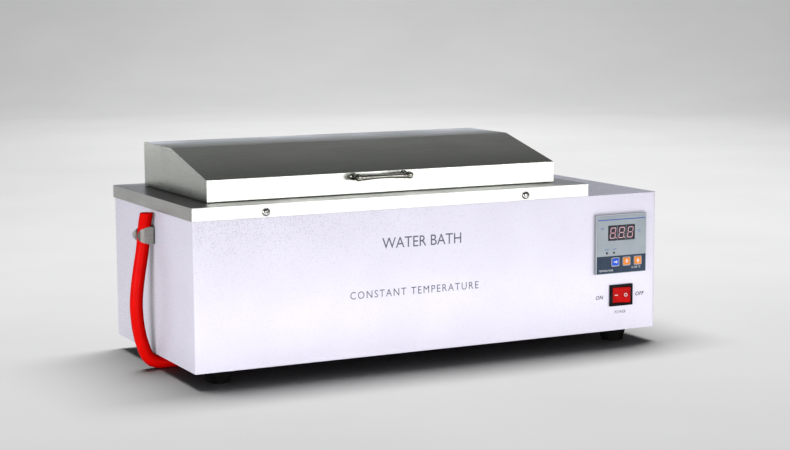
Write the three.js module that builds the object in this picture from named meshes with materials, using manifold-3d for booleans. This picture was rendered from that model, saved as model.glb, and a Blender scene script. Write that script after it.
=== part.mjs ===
// A bench-top laboratory water bath: a painted steel cabinet that holds an insulated stainless tank, with a
// hinged, slope-fronted stainless lid, an electric control compartment at its right end and a red drain hose
// that is clipped up its left side.
//
// Millimetres. While it is built, X runs from the cabinet's left end, Y from its front face towards its back
// and Z up from its bottom edge. The exported group moves that frame to the object's own bottom centre.

import * as THREE from "three";
import { mergeVertices } from "three/addons/utils/BufferGeometryUtils.js";
import Module from "manifold-3d";

const wasm = await Module();
wasm.setup();

// ---------------------------------------------------------------- driving dimensions

const GAP = 0.3; // left between pieces that touch or slide
const CASE = { length: 600, depth: 265, shoulder: 166, sheet: 1.2, leftRadius: 2, rightRadius: 6 };
const DECK = { end: 500, top: 181, sheet: 1, overhang: 1.3 }; // stainless plate over the tank end only
const TANK = { x: [42, 462], y: [48, 228], depth: 105, wall: 1, corner: 10, flange: 10 };
const LID = { x: [30, 474], y: [35, 241], base: 181.8, front: 206, knee: 148, top: 233, sheet: 1 };
const FOOT = { height: 18, topRadius: 17, bottomRadius: 13, x: [40, 560], y: [35, 230] };
const HINGE = { x: [120, 384], y: 244.5, z: 184.5, half: 25, knuckle: 3.2, bore: 1.8, leaf: 1.2 };
const HANDLE = { x: 239, span: 64, z: 201.4, reach: 15.5 }; // a bar on two turned posts
const LIP_SCREW = { x: [84.6, 413], z: 172.2 };
const HOSE = { radius: 7.5, y: 131 };
const DRAIN = { x: 88, bend: 13, z: -9.1, nozzle: 66 }; // the elbow under the tank, and where its nozzle ends
const CLAMP = { x: [52, 58], radius: 8.7 }; // the band on the hose's end
const CLIP = { y: 130, z: 137.5, height: 20, reach: 21.4, half: 8.8, thickness: 1, straight: 3 };
const PANEL = { x: 546, z: 106.4, face: 72, body: 67.4, proud: 4.5, depth: 85 }; // temperature controller
const KEY = { x: [537.6, 553.6, 569.8], z: 84.6, width: 9.2, height: 8.6, proud: 0.8 };
const SWITCH = { x: 548.3, z: 43, width: 32.6, height: 26, rim: 2.4 };
const ROCKER = { pivotY: -0.5, radius: 12.1, corner: 13, root: -25, valley: 0.6, height: 18.8, tilt: 10 };
const GLAND = { x: 556, z: 38, bore: 4, thread: 7.6, reach: 20 };
const SHELF = { z: 106, sheet: 1, margin: 5, columns: 12, rows: 5, hole: 5 };
const HEATER = { y: [113, 163], z: 92, radius: 4.5, farEnd: 105 };
const SENSOR = { y: 138, z: 97, radius: 3 };
const LAGGING = 25;
const WIRING_WINDOW = { y: [100, 176], z: [80, 115] }; // where leads pass from the tank's end to the controls
const VENTS = { y: [95, 170], z: 100, count: 5, pitch: 10, length: 50, width: 4 }; // slots in the right end
const TRAY_VENTS = { x: [520, 570], y: 110, count: 4, pitch: 14, width: 4 };
const TERMINALS = { x: 512, y: 208, count: 4, pitch: 14 };
const RELAY = { x: 538, y: 156 };

const deckUnder = DECK.top - DECK.sheet;
const upstandTop = deckUnder - GAP; // the case walls that stand behind the deck's lips
const tankFloor = DECK.top - TANK.depth;
const tankMiddleY = (TANK.y[0] + TANK.y[1]) / 2;

// ---------------------------------------------------------------- materials

const material = (color, roughness, metalness = 0) =>
  new THREE.MeshStandardMaterial({ color, roughness, metalness });

const paint = material(0xe9e6f2, 0.45);
const stainless = material(0x9a9b9a, 0.35, 1);
const chrome = material(0xc8c8c6, 0.15, 1);
const brass = material(0xb99a56, 0.35, 1);
const blackRubber = material(0x111214, 0.7);
const redRubber = material(0xd80a06, 0.4);
const blackPlastic = material(0x121316, 0.4);
const greyPlastic = material(0xaab0b2, 0.5);
const darkWindow = material(0x2b2f38, 0.2);
const redPlastic = material(0xd0100c, 0.3);
const bluePlastic = material(0x0a4fd8, 0.4);
const orangePlastic = material(0xf47a1c, 0.4);
const ledPlastic = material(0x23301f, 0.3);
const circuitGreen = material(0x1f5a34, 0.5);
const whitePlastic = material(0xdcd9cf, 0.5);
const glassWool = material(0xd9cf9a, 0.95);

// ---------------------------------------------------------------- shape helpers

const axisX = new THREE.Vector3(1, 0, 0);
const axisY = new THREE.Vector3(0, 1, 0);
const axisZ = new THREE.Vector3(0, 0, 1);

/** A closed three.js geometry as a solid that can be joined and cut. */
function solid(geometry) {
  const bare = geometry.clone();
  bare.deleteAttribute("normal");
  bare.deleteAttribute("uv");
  const merged = mergeVertices(bare, 1e-4);
  return new wasm.Manifold(
    new wasm.Mesh({
      numProp: 3,
      vertProperties: merged.attributes.position.array,
      triVerts: new Uint32Array(merged.index.array),
    }),
  );
}

const join = (...solids) => solids.reduce((whole, piece) => whole.add(piece));
const cut = (whole, ...tools) => tools.reduce((rest, tool) => rest.subtract(tool), whole);

/** A box from its [low, high] pair along each axis. */
function block(x, y, z) {
  const geometry = new THREE.BoxGeometry(x[1] - x[0], y[1] - y[0], z[1] - z[0]);
  geometry.translate((x[0] + x[1]) / 2, (y[0] + y[1]) / 2, (z[0] + z[1]) / 2);
  return solid(geometry);
}

/** A span of the given width about a middle value. */
const around = (middle, width) => [middle - width / 2, middle + width / 2];

/** A span grown by the same length at both ends. */
const grown = ([low, high], by) => [low - by, high + by];

/** A round bar, or a cone where the second radius differs, between two points. */
function rod(radius, from, to, { sides = 16, endRadius = radius } = {}) {
  const a = new THREE.Vector3(...from);
  const b = new THREE.Vector3(...to);
  const along = b.clone().sub(a);
  const geometry = new THREE.CylinderGeometry(endRadius, radius, along.length(), sides);
  geometry.applyQuaternion(new THREE.Quaternion().setFromUnitVectors(axisY, along.normalize()));
  const middle = a.add(b).multiplyScalar(0.5);
  geometry.translate(middle.x, middle.y, middle.z);
  return solid(geometry);
}

/** A profile of [radius, height] points turned about a line from origin along direction. */
function turned(profile, origin, direction, sides = 16) {
  const points = profile.map(([radius, height]) => new THREE.Vector2(radius, height));
  const geometry = new THREE.LatheGeometry(points, sides);
  geometry.applyQuaternion(new THREE.Quaternion().setFromUnitVectors(axisY, direction));
  geometry.translate(...origin);
  return solid(geometry);
}

const prismAxes = {
  x: new THREE.Matrix4().makeBasis(axisY, axisZ, axisX),
  y: new THREE.Matrix4().makeBasis(axisX, axisZ, axisY.clone().negate()),
  z: new THREE.Matrix4(),
};

/** A flat outline pushed along an axis: drawn as (Y, Z) for x, as (X, Z) for y and as (X, Y) for z. */
function prism(shape, axis, [low, high], curveSegments = 2) {
  const push = { depth: high - low, bevelEnabled: false, curveSegments };
  const geometry = new THREE.ExtrudeGeometry(shape, push);
  geometry.applyMatrix4(prismAxes[axis]);
  const start = axis === "y" ? high : low;
  geometry.translate(...["x", "y", "z"].map((name) => (name === axis ? start : 0)));
  return solid(geometry);
}

/** A straight-edged outline from [x, y] pairs. */
const outline = (pairs) => new THREE.Shape(pairs.map(([x, y]) => new THREE.Vector2(x, y)));

/** A rectangle whose left and right corners have their own radii. */
function roundedRectangle([x0, x1], [y0, y1], left, right = left) {
  const shape = new THREE.Shape();
  shape.absarc(x1 - right, y1 - right, right, 0, Math.PI / 2);
  shape.absarc(x0 + left, y1 - left, left, Math.PI / 2, Math.PI);
  shape.absarc(x0 + left, y0 + left, left, Math.PI, 1.5 * Math.PI);
  shape.absarc(x1 - right, y0 + right, right, 1.5 * Math.PI, 2 * Math.PI);
  return shape;
}

/** The outline of a bent strip of sheet that follows a line of [x, y] points, with mitred corners. */
function bentStrip(line, thickness) {
  const points = line.map(([x, y]) => new THREE.Vector2(x, y));
  const sideways = points.map((point, i) => {
    const before = point.clone().sub(points[Math.max(i - 1, 0)]).normalize();
    const after = points[Math.min(i + 1, points.length - 1)].clone().sub(point).normalize();
    const way = before.clone().add(after).normalize();
    const mitre = Math.sqrt((1 + Math.min(before.dot(after) || 1, 1)) / 2) || 1;
    return new THREE.Vector2(-way.y, way.x).multiplyScalar(thickness / 2 / mitre);
  });
  const one = points.map((point, i) => point.clone().add(sideways[i]));
  const other = points.map((point, i) => point.clone().sub(sideways[i]));
  return new THREE.Shape([...other, ...one.reverse()]);
}

/** A round section swept along a curve, as one closed solid. */
function swept(radius, curve, steps, sides) {
  const section = new THREE.Shape();
  section.absarc(0, 0, radius, 0, 2 * Math.PI);
  const ring = new THREE.Shape(section.getSpacedPoints(sides).slice(0, sides));
  return solid(new THREE.ExtrudeGeometry(ring, { steps, extrudePath: curve, bevelEnabled: false }));
}

/** A pipe's centre line: straight runs, joined by an arc wherever two short steps meet. */
function piping(points) {
  const path = new THREE.CurvePath();
  const corners = points.map((point) => new THREE.Vector3(...point));
  const bendPoints = corners.slice(1, -1);
  path.add(new THREE.LineCurve3(corners[0], bendPoints[0]));
  path.add(new THREE.CatmullRomCurve3(bendPoints));
  path.add(new THREE.LineCurve3(bendPoints.at(-1), corners.at(-1)));
  return path;
}

/** A six-sided nut across the given corner radius, with a round hole. */
function hexNut(cornerRadius, hole, from, to) {
  return cut(rod(cornerRadius, from, to, { sides: 6 }), throughHole(hole, from, to));
}

/** A round cutter that runs past both ends. */
function throughHole(radius, from, to, sides = 16) {
  const a = new THREE.Vector3(...from);
  const b = new THREE.Vector3(...to);
  const past = b.clone().sub(a).normalize();
  return rod(radius, a.sub(past).toArray(), b.add(past).toArray(), { sides });
}

/** A screw or rivet with a low domed head. It points along direction, and its head stands the other way. */
function domedScrew({ at, direction, shank, length, head, rise }) {
  const dome = [
    [0, -rise],
    [0.55 * head, -0.86 * rise],
    [0.88 * head, -0.45 * rise],
    [head, 0],
  ];
  return turned([[0, length], [shank, length], [shank, 0], ...dome.reverse()].reverse(), at, direction);
}

const group = new THREE.Group();

/** Adds a solid to the object as a named mesh. */
function part(name, shape, finish) {
  const { numProp, vertProperties, triVerts, numVert } = shape.getMesh();
  const positions = new Float32Array(numVert * 3);
  for (let i = 0; i < numVert; i++) {
    positions.set(vertProperties.subarray(i * numProp, i * numProp + 3), 3 * i);
  }
  const indexed = new THREE.BufferGeometry();
  indexed.setAttribute("position", new THREE.BufferAttribute(positions, 3));
  indexed.setIndex(new THREE.BufferAttribute(triVerts, 1));
  const geometry = indexed.toNonIndexed();
  geometry.computeVertexNormals();
  const mesh = new THREE.Mesh(geometry, finish);
  mesh.name = name;
  group.add(mesh);
}

// ---------------------------------------------------------------- cabinet

/** The cabinet's plan, inset from its outside. */
const cabinetPlan = (inset) =>
  roundedRectangle(
    [inset, CASE.length - inset],
    [inset, CASE.depth - inset],
    Math.max(CASE.leftRadius - inset, 0.5),
    CASE.rightRadius - inset,
  );

function outerCase() {
  const tankEnd = block([-1, DECK.end - 1], [-1, CASE.depth + 1], [-1, upstandTop + 20]);
  const inside = cabinetPlan(CASE.sheet);
  const outside = join(
    prism(cabinetPlan(0), "z", [0, CASE.shoulder]),
    prism(cabinetPlan(0), "z", [0, upstandTop]).intersect(tankEnd),
  );
  const hollow = join(
    prism(inside, "z", [-1, CASE.shoulder - CASE.sheet]),
    prism(inside, "z", [-1, upstandTop + 5]).intersect(tankEnd),
  );
  const frontWall = [-2, 3];
  const cutouts = [
    block(around(PANEL.x, PANEL.body + 1), frontWall, around(PANEL.z, PANEL.body + 1)),
    block(around(SWITCH.x, SWITCH.width - 3), frontWall, around(SWITCH.z, SWITCH.height - 3.6)),
    throughHole(8, [GLAND.x, CASE.depth - 3, GLAND.z], [GLAND.x, CASE.depth, GLAND.z], 24),
    throughHole(2, [0, CLIP.y, CLIP.z], [2, CLIP.y, CLIP.z], 12),
  ];
  for (const x of LIP_SCREW.x) {
    cutouts.push(throughHole(2.5, [x, 0, LIP_SCREW.z], [x, CASE.depth, LIP_SCREW.z]));
  }
  for (const y of VENTS.y) {
    for (let row = 0; row < VENTS.count; row++) {
      const slot = around(VENTS.z + row * VENTS.pitch, VENTS.width);
      cutouts.push(block([CASE.length - 3, CASE.length + 3], around(y, VENTS.length), slot));
    }
  }
  return cut(outside, hollow, ...cutouts);
}

/** A shallow tray that closes the cabinet from below. The feet are screwed to it. */
function basePlate() {
  const rimHeight = 12;
  const plan = (inset) => {
    const edge = CASE.sheet + GAP + inset;
    return roundedRectangle(
      [edge, CASE.length - edge],
      [edge, CASE.depth - edge],
      0.8,
      CASE.rightRadius - CASE.sheet - GAP - inset,
    );
  };
  const holes = [throughHole(9, [DRAIN.x, HOSE.y, 0], [DRAIN.x, HOSE.y, 1], 24)];
  for (const x of FOOT.x) for (const y of FOOT.y) holes.push(throughHole(2.6, [x, y, 0], [x, y, 1], 12));
  for (let i = 0; i < TRAY_VENTS.count; i++) {
    holes.push(block(TRAY_VENTS.x, around(TRAY_VENTS.y + i * TRAY_VENTS.pitch, TRAY_VENTS.width), [-1, 3]));
  }
  return cut(
    prism(plan(0), "z", [0, rimHeight]),
    prism(plan(CASE.sheet), "z", [CASE.sheet, rimHeight + 1]),
    ...holes,
  );
}

/** The wall between the tank and the controls. It stands on the tray and carries the deck's right lip. */
function dividerPanel() {
  const x = [DECK.end - 2.5, DECK.end - 1.3];
  const edge = CASE.sheet + GAP;
  const sheet = block(x, [edge + 1.5, CASE.depth - edge - 1.5], [CASE.sheet + GAP, upstandTop]);
  return cut(sheet, block([x[0] - 1, x[1] + 1], WIRING_WINDOW.y, WIRING_WINDOW.z));
}

function foot(x, y) {
  const { height, topRadius, bottomRadius } = FOOT;
  const recess = 6;
  const profile = [
    [bottomRadius - 1, -height],
    [bottomRadius, -height + 1],
    [topRadius, -5],
    [topRadius, -GAP],
    [2.6, -GAP],
    [2.6, -height + recess],
    [5.2, -height + recess],
    [5.2, -height],
    [bottomRadius - 1, -height],
  ];
  return turned(profile, [x, y, 0], axisZ, 20);
}

const footScrew = (x, y) =>
  domedScrew({ at: [x, y, -12.3], direction: axisZ, shank: 2.2, length: 19, head: 4.4, rise: 2.6 });

part("outer_case", outerCase(), paint);
part("base_plate", basePlate(), paint);
part("divider_panel", dividerPanel(), paint);
for (const [i, side] of ["left", "right"].entries()) {
  for (const [j, end] of ["front", "rear"].entries()) {
    part(`foot_${end}_${side}`, foot(FOOT.x[i], FOOT.y[j]), blackRubber);
    part(`foot_screw_${end}_${side}`, footScrew(FOOT.x[i], FOOT.y[j]), chrome);
  }
}

// ---------------------------------------------------------------- deck and tank

function topDeck() {
  const { end, top, sheet, overhang } = DECK;
  const lipBottom = CASE.shoulder + GAP;
  const outside = block([-overhang, end], [-overhang, CASE.depth + overhang], [lipBottom, top]);
  const inset = overhang - sheet;
  const under = block([-inset, end - sheet], [-inset, CASE.depth + inset], [lipBottom - 5, deckUnder]);
  const opening = prism(roundedRectangle(TANK.x, TANK.y, TANK.corner), "z", [deckUnder - 5, top + 5]);
  const holes = LIP_SCREW.x.map((x) =>
    throughHole(2.7, [x, -2, LIP_SCREW.z], [x, CASE.depth + 2, LIP_SCREW.z]),
  );
  return cut(outside, under, opening, ...holes);
}

function innerTank() {
  const { wall, flange, corner } = TANK;
  const plan = (grow) =>
    roundedRectangle(grown(TANK.x, grow), grown(TANK.y, grow), corner + grow);
  const tub = join(
    prism(plan(wall), "z", [tankFloor - wall, upstandTop]),
    prism(plan(wall + flange), "z", [upstandTop - wall, upstandTop]),
  );
  const right = TANK.x[1];
  const holes = HEATER.y.map((y) => throughHole(5.6, [right, y, HEATER.z], [right + wall, y, HEATER.z]));
  holes.push(throughHole(4.6, [right, SENSOR.y, SENSOR.z], [right + wall, SENSOR.y, SENSOR.z]));
  holes.push(throughHole(4.5, [DRAIN.x, HOSE.y, tankFloor - wall], [DRAIN.x, HOSE.y, tankFloor]));
  return cut(tub, prism(plan(0), "z", [tankFloor, upstandTop + 5]), ...holes);
}

/** Glass-wool boards round the tank's walls and under its floor. */
function tankLagging() {
  const clear = TANK.wall + GAP;
  const boards = block(
    grown(TANK.x, clear + LAGGING),
    grown(TANK.y, clear + LAGGING),
    [tankFloor - clear - LAGGING, upstandTop - TANK.wall - GAP],
  );
  const window = block([TANK.x[1], TANK.x[1] + 60], grown(WIRING_WINDOW.y, 2), grown(WIRING_WINDOW.z, 2));
  const pipe = throughHole(12, [DRAIN.x, HOSE.y, 30], [DRAIN.x, HOSE.y, tankFloor + 5]);
  const room = block(grown(TANK.x, clear), grown(TANK.y, clear), [tankFloor - clear, DECK.top]);
  return cut(boards, room, window, pipe);
}

/** The shelf's plan, inset from the tank's walls. */
const shelfSpan = {
  x: [TANK.x[0] + SHELF.margin, TANK.x[1] - SHELF.margin],
  y: [TANK.y[0] + SHELF.margin, TANK.y[1] - SHELF.margin],
};

/** A perforated false floor. It lifts out with its two legs. */
function shelfPlate() {
  const { z, sheet, columns, rows, hole } = SHELF;
  const { x, y } = shelfSpan;
  const plate = roundedRectangle(x, y, 6);
  const pitchX = (x[1] - x[0]) / columns;
  const pitchY = (y[1] - y[0]) / rows;
  for (let i = 0; i < columns; i++) {
    for (let j = 0; j < rows; j++) {
      const round = new THREE.Path();
      round.absarc(x[0] + (i + 0.5) * pitchX, y[0] + (j + 0.5) * pitchY, hole, 0, 2 * Math.PI, true);
      plate.holes.push(new THREE.Path(round.getSpacedPoints(8).slice(0, 8)));
    }
  }
  return prism(plate, "z", [z, z + sheet]);
}

/** An angle strip under one long edge of the shelf. Notches along its foot let the water through. */
function shelfLeg(edge, inward) {
  const { z, sheet } = SHELF;
  const span = [shelfSpan.x[0] + 6, shelfSpan.x[1] - 6];
  const top = z - GAP;
  const across = (width) => [edge, edge + inward * width].sort((a, b) => a - b);
  const notches = [110, 200, 290, 380].map((middle) =>
    block(around(middle, 40), [edge - 5, edge + 5], [tankFloor - 5, tankFloor + 15]),
  );
  const web = block(span, across(sheet), [tankFloor + GAP, top]);
  return cut(join(web, block(span, across(8), [top - sheet, top])), ...notches);
}

/** A U of sheathed heating element. Its cold ends pass through the tank's right wall. */
function heaterElement() {
  const { y, z, radius, farEnd } = HEATER;
  const bend = (y[1] - y[0]) / 2;
  const wallX = TANK.x[1];
  const hairpin = piping([
    [wallX - 4, y[0], z],
    [farEnd, y[0], z],
    [farEnd - 0.71 * bend, tankMiddleY - 0.71 * bend, z],
    [farEnd - bend, tankMiddleY, z],
    [farEnd - 0.71 * bend, tankMiddleY + 0.71 * bend, z],
    [farEnd, y[1], z],
    [wallX - 4, y[1], z],
  ]);
  const ends = y.flatMap((at) => [
    rod(8, [wallX - 4.5, at, z], [wallX - GAP, at, z]),
    rod(5.2, [wallX - 1, at, z], [wallX + 12, at, z]),
    rod(1.6, [wallX + 11, at, z], [wallX + 22, at, z], { sides: 8 }),
  ]);
  return join(swept(radius, hairpin, 48, 10), ...ends);
}

/** A stainless probe sheath with a hexagon that seats on the inside of the tank's wall. */
function sensorProbe() {
  const at = (x) => [x, SENSOR.y, SENSOR.z];
  const wallX = TANK.x[1];
  return join(
    rod(SENSOR.radius, at(wallX - 80), at(wallX + 16), { sides: 12 }),
    rod(6.5, at(wallX - 5), at(wallX - GAP), { sides: 6 }),
    rod(4.2, at(wallX - 1), at(wallX + 9)),
  );
}

const nutBehindWall = (y, z, cornerRadius, hole) => {
  const face = TANK.x[1] + TANK.wall + GAP;
  return hexNut(cornerRadius, hole, [face, y, z], [face + 5, y, z]);
};

part("top_deck", topDeck(), stainless);
part("inner_tank", innerTank(), stainless);
part("tank_lagging", tankLagging(), glassWool);
part("shelf_plate", shelfPlate(), stainless);
part("shelf_leg_front", shelfLeg(shelfSpan.y[0], 1), stainless);
part("shelf_leg_rear", shelfLeg(shelfSpan.y[1], -1), stainless);
part("heater_element", heaterElement(), stainless);
part("heater_nut_front", nutBehindWall(HEATER.y[0], HEATER.z, 9, 5.5), brass);
part("heater_nut_rear", nutBehindWall(HEATER.y[1], HEATER.z, 9, 5.5), brass);
part("sensor_probe", sensorProbe(), stainless);
part("sensor_nut", nutBehindWall(SENSOR.y, SENSOR.z, 7, 4.5), brass);

// The lip screws hold the deck to the case, two at the front and two at the back.
for (const [i, side] of ["left", "right"].entries()) {
  const screw = { shank: 2.2, length: 10, head: 4.5, rise: 2.8 };
  const faceY = DECK.overhang + GAP;
  const [x, z] = [LIP_SCREW.x[i], LIP_SCREW.z];
  part(`deck_screw_front_${side}`, domedScrew({ at: [x, -faceY, z], direction: axisY, ...screw }), chrome);
  const back = { at: [x, CASE.depth + faceY, z], direction: axisY.clone().negate(), ...screw };
  part(`deck_screw_rear_${side}`, domedScrew(back), chrome);
}

// ---------------------------------------------------------------- drain and hose

/** The pipe soldered under the tank: a drop through the tray, a bend and a nozzle to the left. */
function drainElbow() {
  const { x, bend, z, nozzle } = DRAIN;
  const top = tankFloor - TANK.wall - GAP;
  const route = (past) =>
    piping([
      [x, HOSE.y, top + past],
      [x, HOSE.y, z + bend],
      [x - 0.29 * bend, HOSE.y, z + 0.29 * bend],
      [x - bend, HOSE.y, z],
      [nozzle - past, HOSE.y, z],
    ]);
  return cut(swept(5.5, route(0), 20, 12), swept(4, route(2), 20, 8));
}

// The hose runs from the nozzle along the ground, then up the cabinet's left end, and stands in the clip.
const hoseRoute = [
  [65.7, 131, -9.1],
  [52, 131, -9.3],
  [38, 131, -10.1],
  [26, 131, -10.4],
  [16, 131, -10.4],
  [8, 131, -10.3],
  [0.8, 131, -9.2],
  [-5.7, 131, -5.8],
  [-10.6, 131, 0.8],
  [-14, 131, 10],
  [-17.4, 131.2, 22],
  [-20, 131.4, 40],
  [-20.8, 131.5, 58],
  [-19.4, 131.6, 76],
  [-16.3, 131.4, 97],
  [-12.8, 130.6, 118],
  [-10.6, 130, 137],
  [-9.5, 129.3, 149.5],
  [-8.4, 125.6, 162.2],
].map((point) => new THREE.Vector3(...point));

const drainHose = () => swept(HOSE.radius, new THREE.CatmullRomCurve3(hoseRoute), 30, 12);

/** A sprung band round the hose's end, with two ears to squeeze. */
function hoseClamp() {
  const [from, to] = CLAMP.x.map((x) => [x, HOSE.y, DRAIN.z - 0.1]);
  const ears = [2, 4.6].map((z) => block(CLAMP.x, [HOSE.y + 7, HOSE.y + 14], [DRAIN.z + z - 1, DRAIN.z + z]));
  const band = rod(CLAMP.radius, from, to, { sides: 24 });
  return cut(join(band, ...ears), throughHole(HOSE.radius + 0.4, from, to, 24));
}

/** A spring-steel clip: a flat base on the cabinet's left end and two arms that pinch the hose. */
function hoseClip() {
  const { y, z, height, reach, half, thickness, straight } = CLIP;
  const base = -GAP - thickness / 2;
  const arm = [
    [base, half],
    [-13, half],
    [-16.2, half - 2.1],
    [-reach, half],
  ];
  const line = [...arm.map(([x, side]) => [x, y - side]).reverse(), ...arm.map(([x, side]) => [x, y + side])];
  const bent = prism(bentStrip(line, thickness), "z", around(z, height));
  const sideView = new THREE.Shape();
  sideView.moveTo(1, z - height / 2);
  sideView.lineTo(1, z + height / 2);
  sideView.lineTo(-straight, z + height / 2);
  sideView.absellipse(-straight, z, reach - straight, height / 2, Math.PI / 2, 1.5 * Math.PI, false);
  const rounded = prism(sideView, "y", around(y, 4 * half), 6);
  return cut(bent.intersect(rounded), throughHole(2, [0, y, z], [-2, y, z], 12));
}

part("drain_elbow", drainElbow(), brass);
part("drain_hose", drainHose(), redRubber);
part("hose_clamp", hoseClamp(), stainless);
part("hose_clip", hoseClip(), stainless);
const rivet = { at: [-1.6, CLIP.y, CLIP.z], direction: axisX, shank: 1.6, length: 6, head: 3.2, rise: 1 };
part("hose_clip_rivet", domedScrew(rivet), chrome);

// ---------------------------------------------------------------- lid, handle and hinges

function lidShell() {
  const { x, y, base, front, knee, top, sheet } = LID;
  const hood = [[y[0], base], [y[1], base], [y[1], top], [knee, top], [y[0], front]];
  const room = [
    [y[0] + sheet, base - 5],
    [y[1] - sheet, base - 5],
    [y[1] - sheet, top - sheet],
    [knee + 0.12, top - sheet],
    [y[0] + sheet, front - 0.8 * sheet],
  ];
  const screwHoles = around(HANDLE.x, HANDLE.span).map((at) =>
    throughHole(2, [at, y[0], HANDLE.z], [at, y[0] + sheet, HANDLE.z], 12),
  );
  return cut(
    prism(outline(hood), "x", x),
    prism(outline(room), "x", [x[0] + sheet, x[1] - sheet]),
    ...screwHoles,
  );
}

/** A cast bar pull: two turned posts, and a bar that is slimmest in its middle. */
function lidHandle() {
  const faceY = LID.y[0] - GAP;
  const outward = axisY.clone().negate();
  const post = [
    [0, 0],
    [4.4, 0],
    [4.4, 1.6],
    [3.1, 2.6],
    [2.9, HANDLE.reach - 6],
    [3.7, HANDLE.reach - 4.2],
    [4.2, HANDLE.reach],
    [3.3, HANDLE.reach + 3.4],
    [0, HANDLE.reach + 4.3],
  ];
  const halfBar = [
    [3.1, 4],
    [3.5, 5.5],
    [3.5, 7],
    [2.9, 8],
    [3.2, 9.4],
    [2.8, 17],
    [2.3, 18],
  ];
  const ends = around(HANDLE.x, HANDLE.span);
  const posts = ends.map((x) => turned(post, [x, faceY, HANDLE.z], outward, 12));
  const bar = [
    [0, 0],
    [3.2, 0],
    ...halfBar,
    ...halfBar.map(([radius, along]) => [radius, HANDLE.span - along]).reverse(),
    [3.2, HANDLE.span],
    [0, HANDLE.span],
  ];
  const barY = faceY - HANDLE.reach;
  const screwHoles = ends.map((x) =>
    rod(1.8, [x, faceY + 1, HANDLE.z], [x, faceY - 9, HANDLE.z], { sides: 12 }),
  );
  return cut(join(...posts, turned(bar, [ends[0], barY, HANDLE.z], axisX, 12)), ...screwHoles);
}

/** The leaf on the deck, with the two outer knuckles. Two rivet heads stand on it. */
function hingeDeckLeaf(x) {
  const { y, z, half, knuckle, bore, leaf } = HINGE;
  const low = DECK.top + GAP;
  const knuckles = [-1, 1].map((side) =>
    rod(knuckle, [x + side * 9.2, y, z], [x + side * half, y, z], { sides: 20 }),
  );
  const plate = block(around(x, 2 * half), [y, 262], [low, low + leaf]);
  const clearance = rod(knuckle + 0.4, [x - 9.2, y, z], [x + 9.2, y, z], { sides: 20 });
  const rivets = [-15, 15].map((along) =>
    rod(2.6, [x + along, 255, low + 1], [x + along, 255, low + 2], { endRadius: 1.8 }),
  );
  const pinHole = throughHole(bore, [x - half, y, z], [x + half, y, z]);
  return cut(join(cut(plate, clearance), ...knuckles, ...rivets), pinHole);
}

/** The leaf on the lid's back, with the middle knuckle. Two rivet heads stand on it. */
function hingeLidLeaf(x) {
  const { y, z, half, knuckle, bore, leaf } = HINGE;
  const nearY = LID.y[1] + GAP;
  const middle = around(x, 17.6);
  const plate = block(around(x, 2 * half), [nearY, nearY + leaf], [188.4, 204]);
  const neck = block(middle, [nearY, nearY + leaf], [z, 189]);
  const barrel = rod(knuckle, [middle[0], y, z], [middle[1], y, z], { sides: 20 });
  const rivets = [-8, 8].map((along) =>
    rod(2.6, [x + along, nearY + 1, 197], [x + along, nearY + 2.1, 197], { endRadius: 1.8 }),
  );
  const pinHole = throughHole(bore, [middle[0], y, z], [middle[1], y, z]);
  return cut(join(plate, neck, barrel, ...rivets), pinHole);
}

function hingePin(x) {
  const { y, z, half, bore } = HINGE;
  const end = half + GAP;
  const heads = [-1, 1].map((side) => rod(2.5, [x + side * end, y, z], [x + side * (end + 1.2), y, z]));
  return join(rod(bore - GAP, [x - end - 0.5, y, z], [x + end + 0.5, y, z]), ...heads);
}

part("lid_shell", lidShell(), stainless);
part("lid_handle", lidHandle(), chrome);
for (const [i, side] of ["left", "right"].entries()) {
  const at = [around(HANDLE.x, HANDLE.span)[i], LID.y[0] + LID.sheet + GAP, HANDLE.z];
  const outward = axisY.clone().negate();
  const screw = { at, direction: outward, shank: 1.5, length: 8, head: 3.6, rise: 2.2 };
  part(`handle_screw_${side}`, domedScrew(screw), chrome);
  part(`hinge_deck_leaf_${side}`, hingeDeckLeaf(HINGE.x[i]), stainless);
  part(`hinge_lid_leaf_${side}`, hingeLidLeaf(HINGE.x[i]), stainless);
  part(`hinge_pin_${side}`, hingePin(HINGE.x[i]), stainless);
}

// ---------------------------------------------------------------- temperature controller

const faceFront = -PANEL.proud;
const display = { x: [527, 565], z: [111, 129] };
const leds = { x: [525.2, 535.5], z: 96, radius: 1.2 };

/** The cutters for the display, the keys and the lamps, each grown on every side. */
function faceOpenings(y, grow) {
  return [
    block(grown(display.x, grow), y, grown(display.z, grow)),
    ...KEY.x.map((x) => block(around(x, KEY.width + 2 * grow), y, around(KEY.z, KEY.height + 2 * grow))),
    ...leds.x.map((x) => rod(leds.radius + grow, [x, y[0], leds.z], [x, y[1], leds.z], { sides: 12 })),
  ];
}

/** One moulding: the bezel on the cabinet's face, and the box behind it, which is open at its back. */
function controllerHousing() {
  const { x, z, face, body, depth } = PANEL;
  const wall = 2;
  const bezel = block(around(x, face), [faceFront, -GAP], around(z, face));
  const box = block(around(x, body), [-1, depth], around(z, body));
  const recess = block(around(x, face - 2.4), [faceFront - 1, faceFront + 0.9], around(z, face - 2.4));
  const room = block(around(x, body - 2 * wall), [faceFront + 3, depth + 1], around(z, body - 2 * wall));
  return cut(join(bezel, box), recess, room, ...faceOpenings([faceFront - 1, 0], GAP));
}

/** The printed sheet in the bezel's recess. */
function controllerFascia() {
  const size = PANEL.face - 2.4 - 2 * GAP;
  const sheet = block(around(PANEL.x, size), [faceFront, faceFront + 0.6], around(PANEL.z, size));
  return cut(sheet, ...faceOpenings([faceFront - 1, faceFront + 1], GAP));
}

const displayWindow = () => block(display.x, [faceFront - 0.1, faceFront + 5], display.z);

const key = (x) =>
  block(around(x, KEY.width), [faceFront - KEY.proud, faceFront + 4.4], around(KEY.z, KEY.height));

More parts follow.
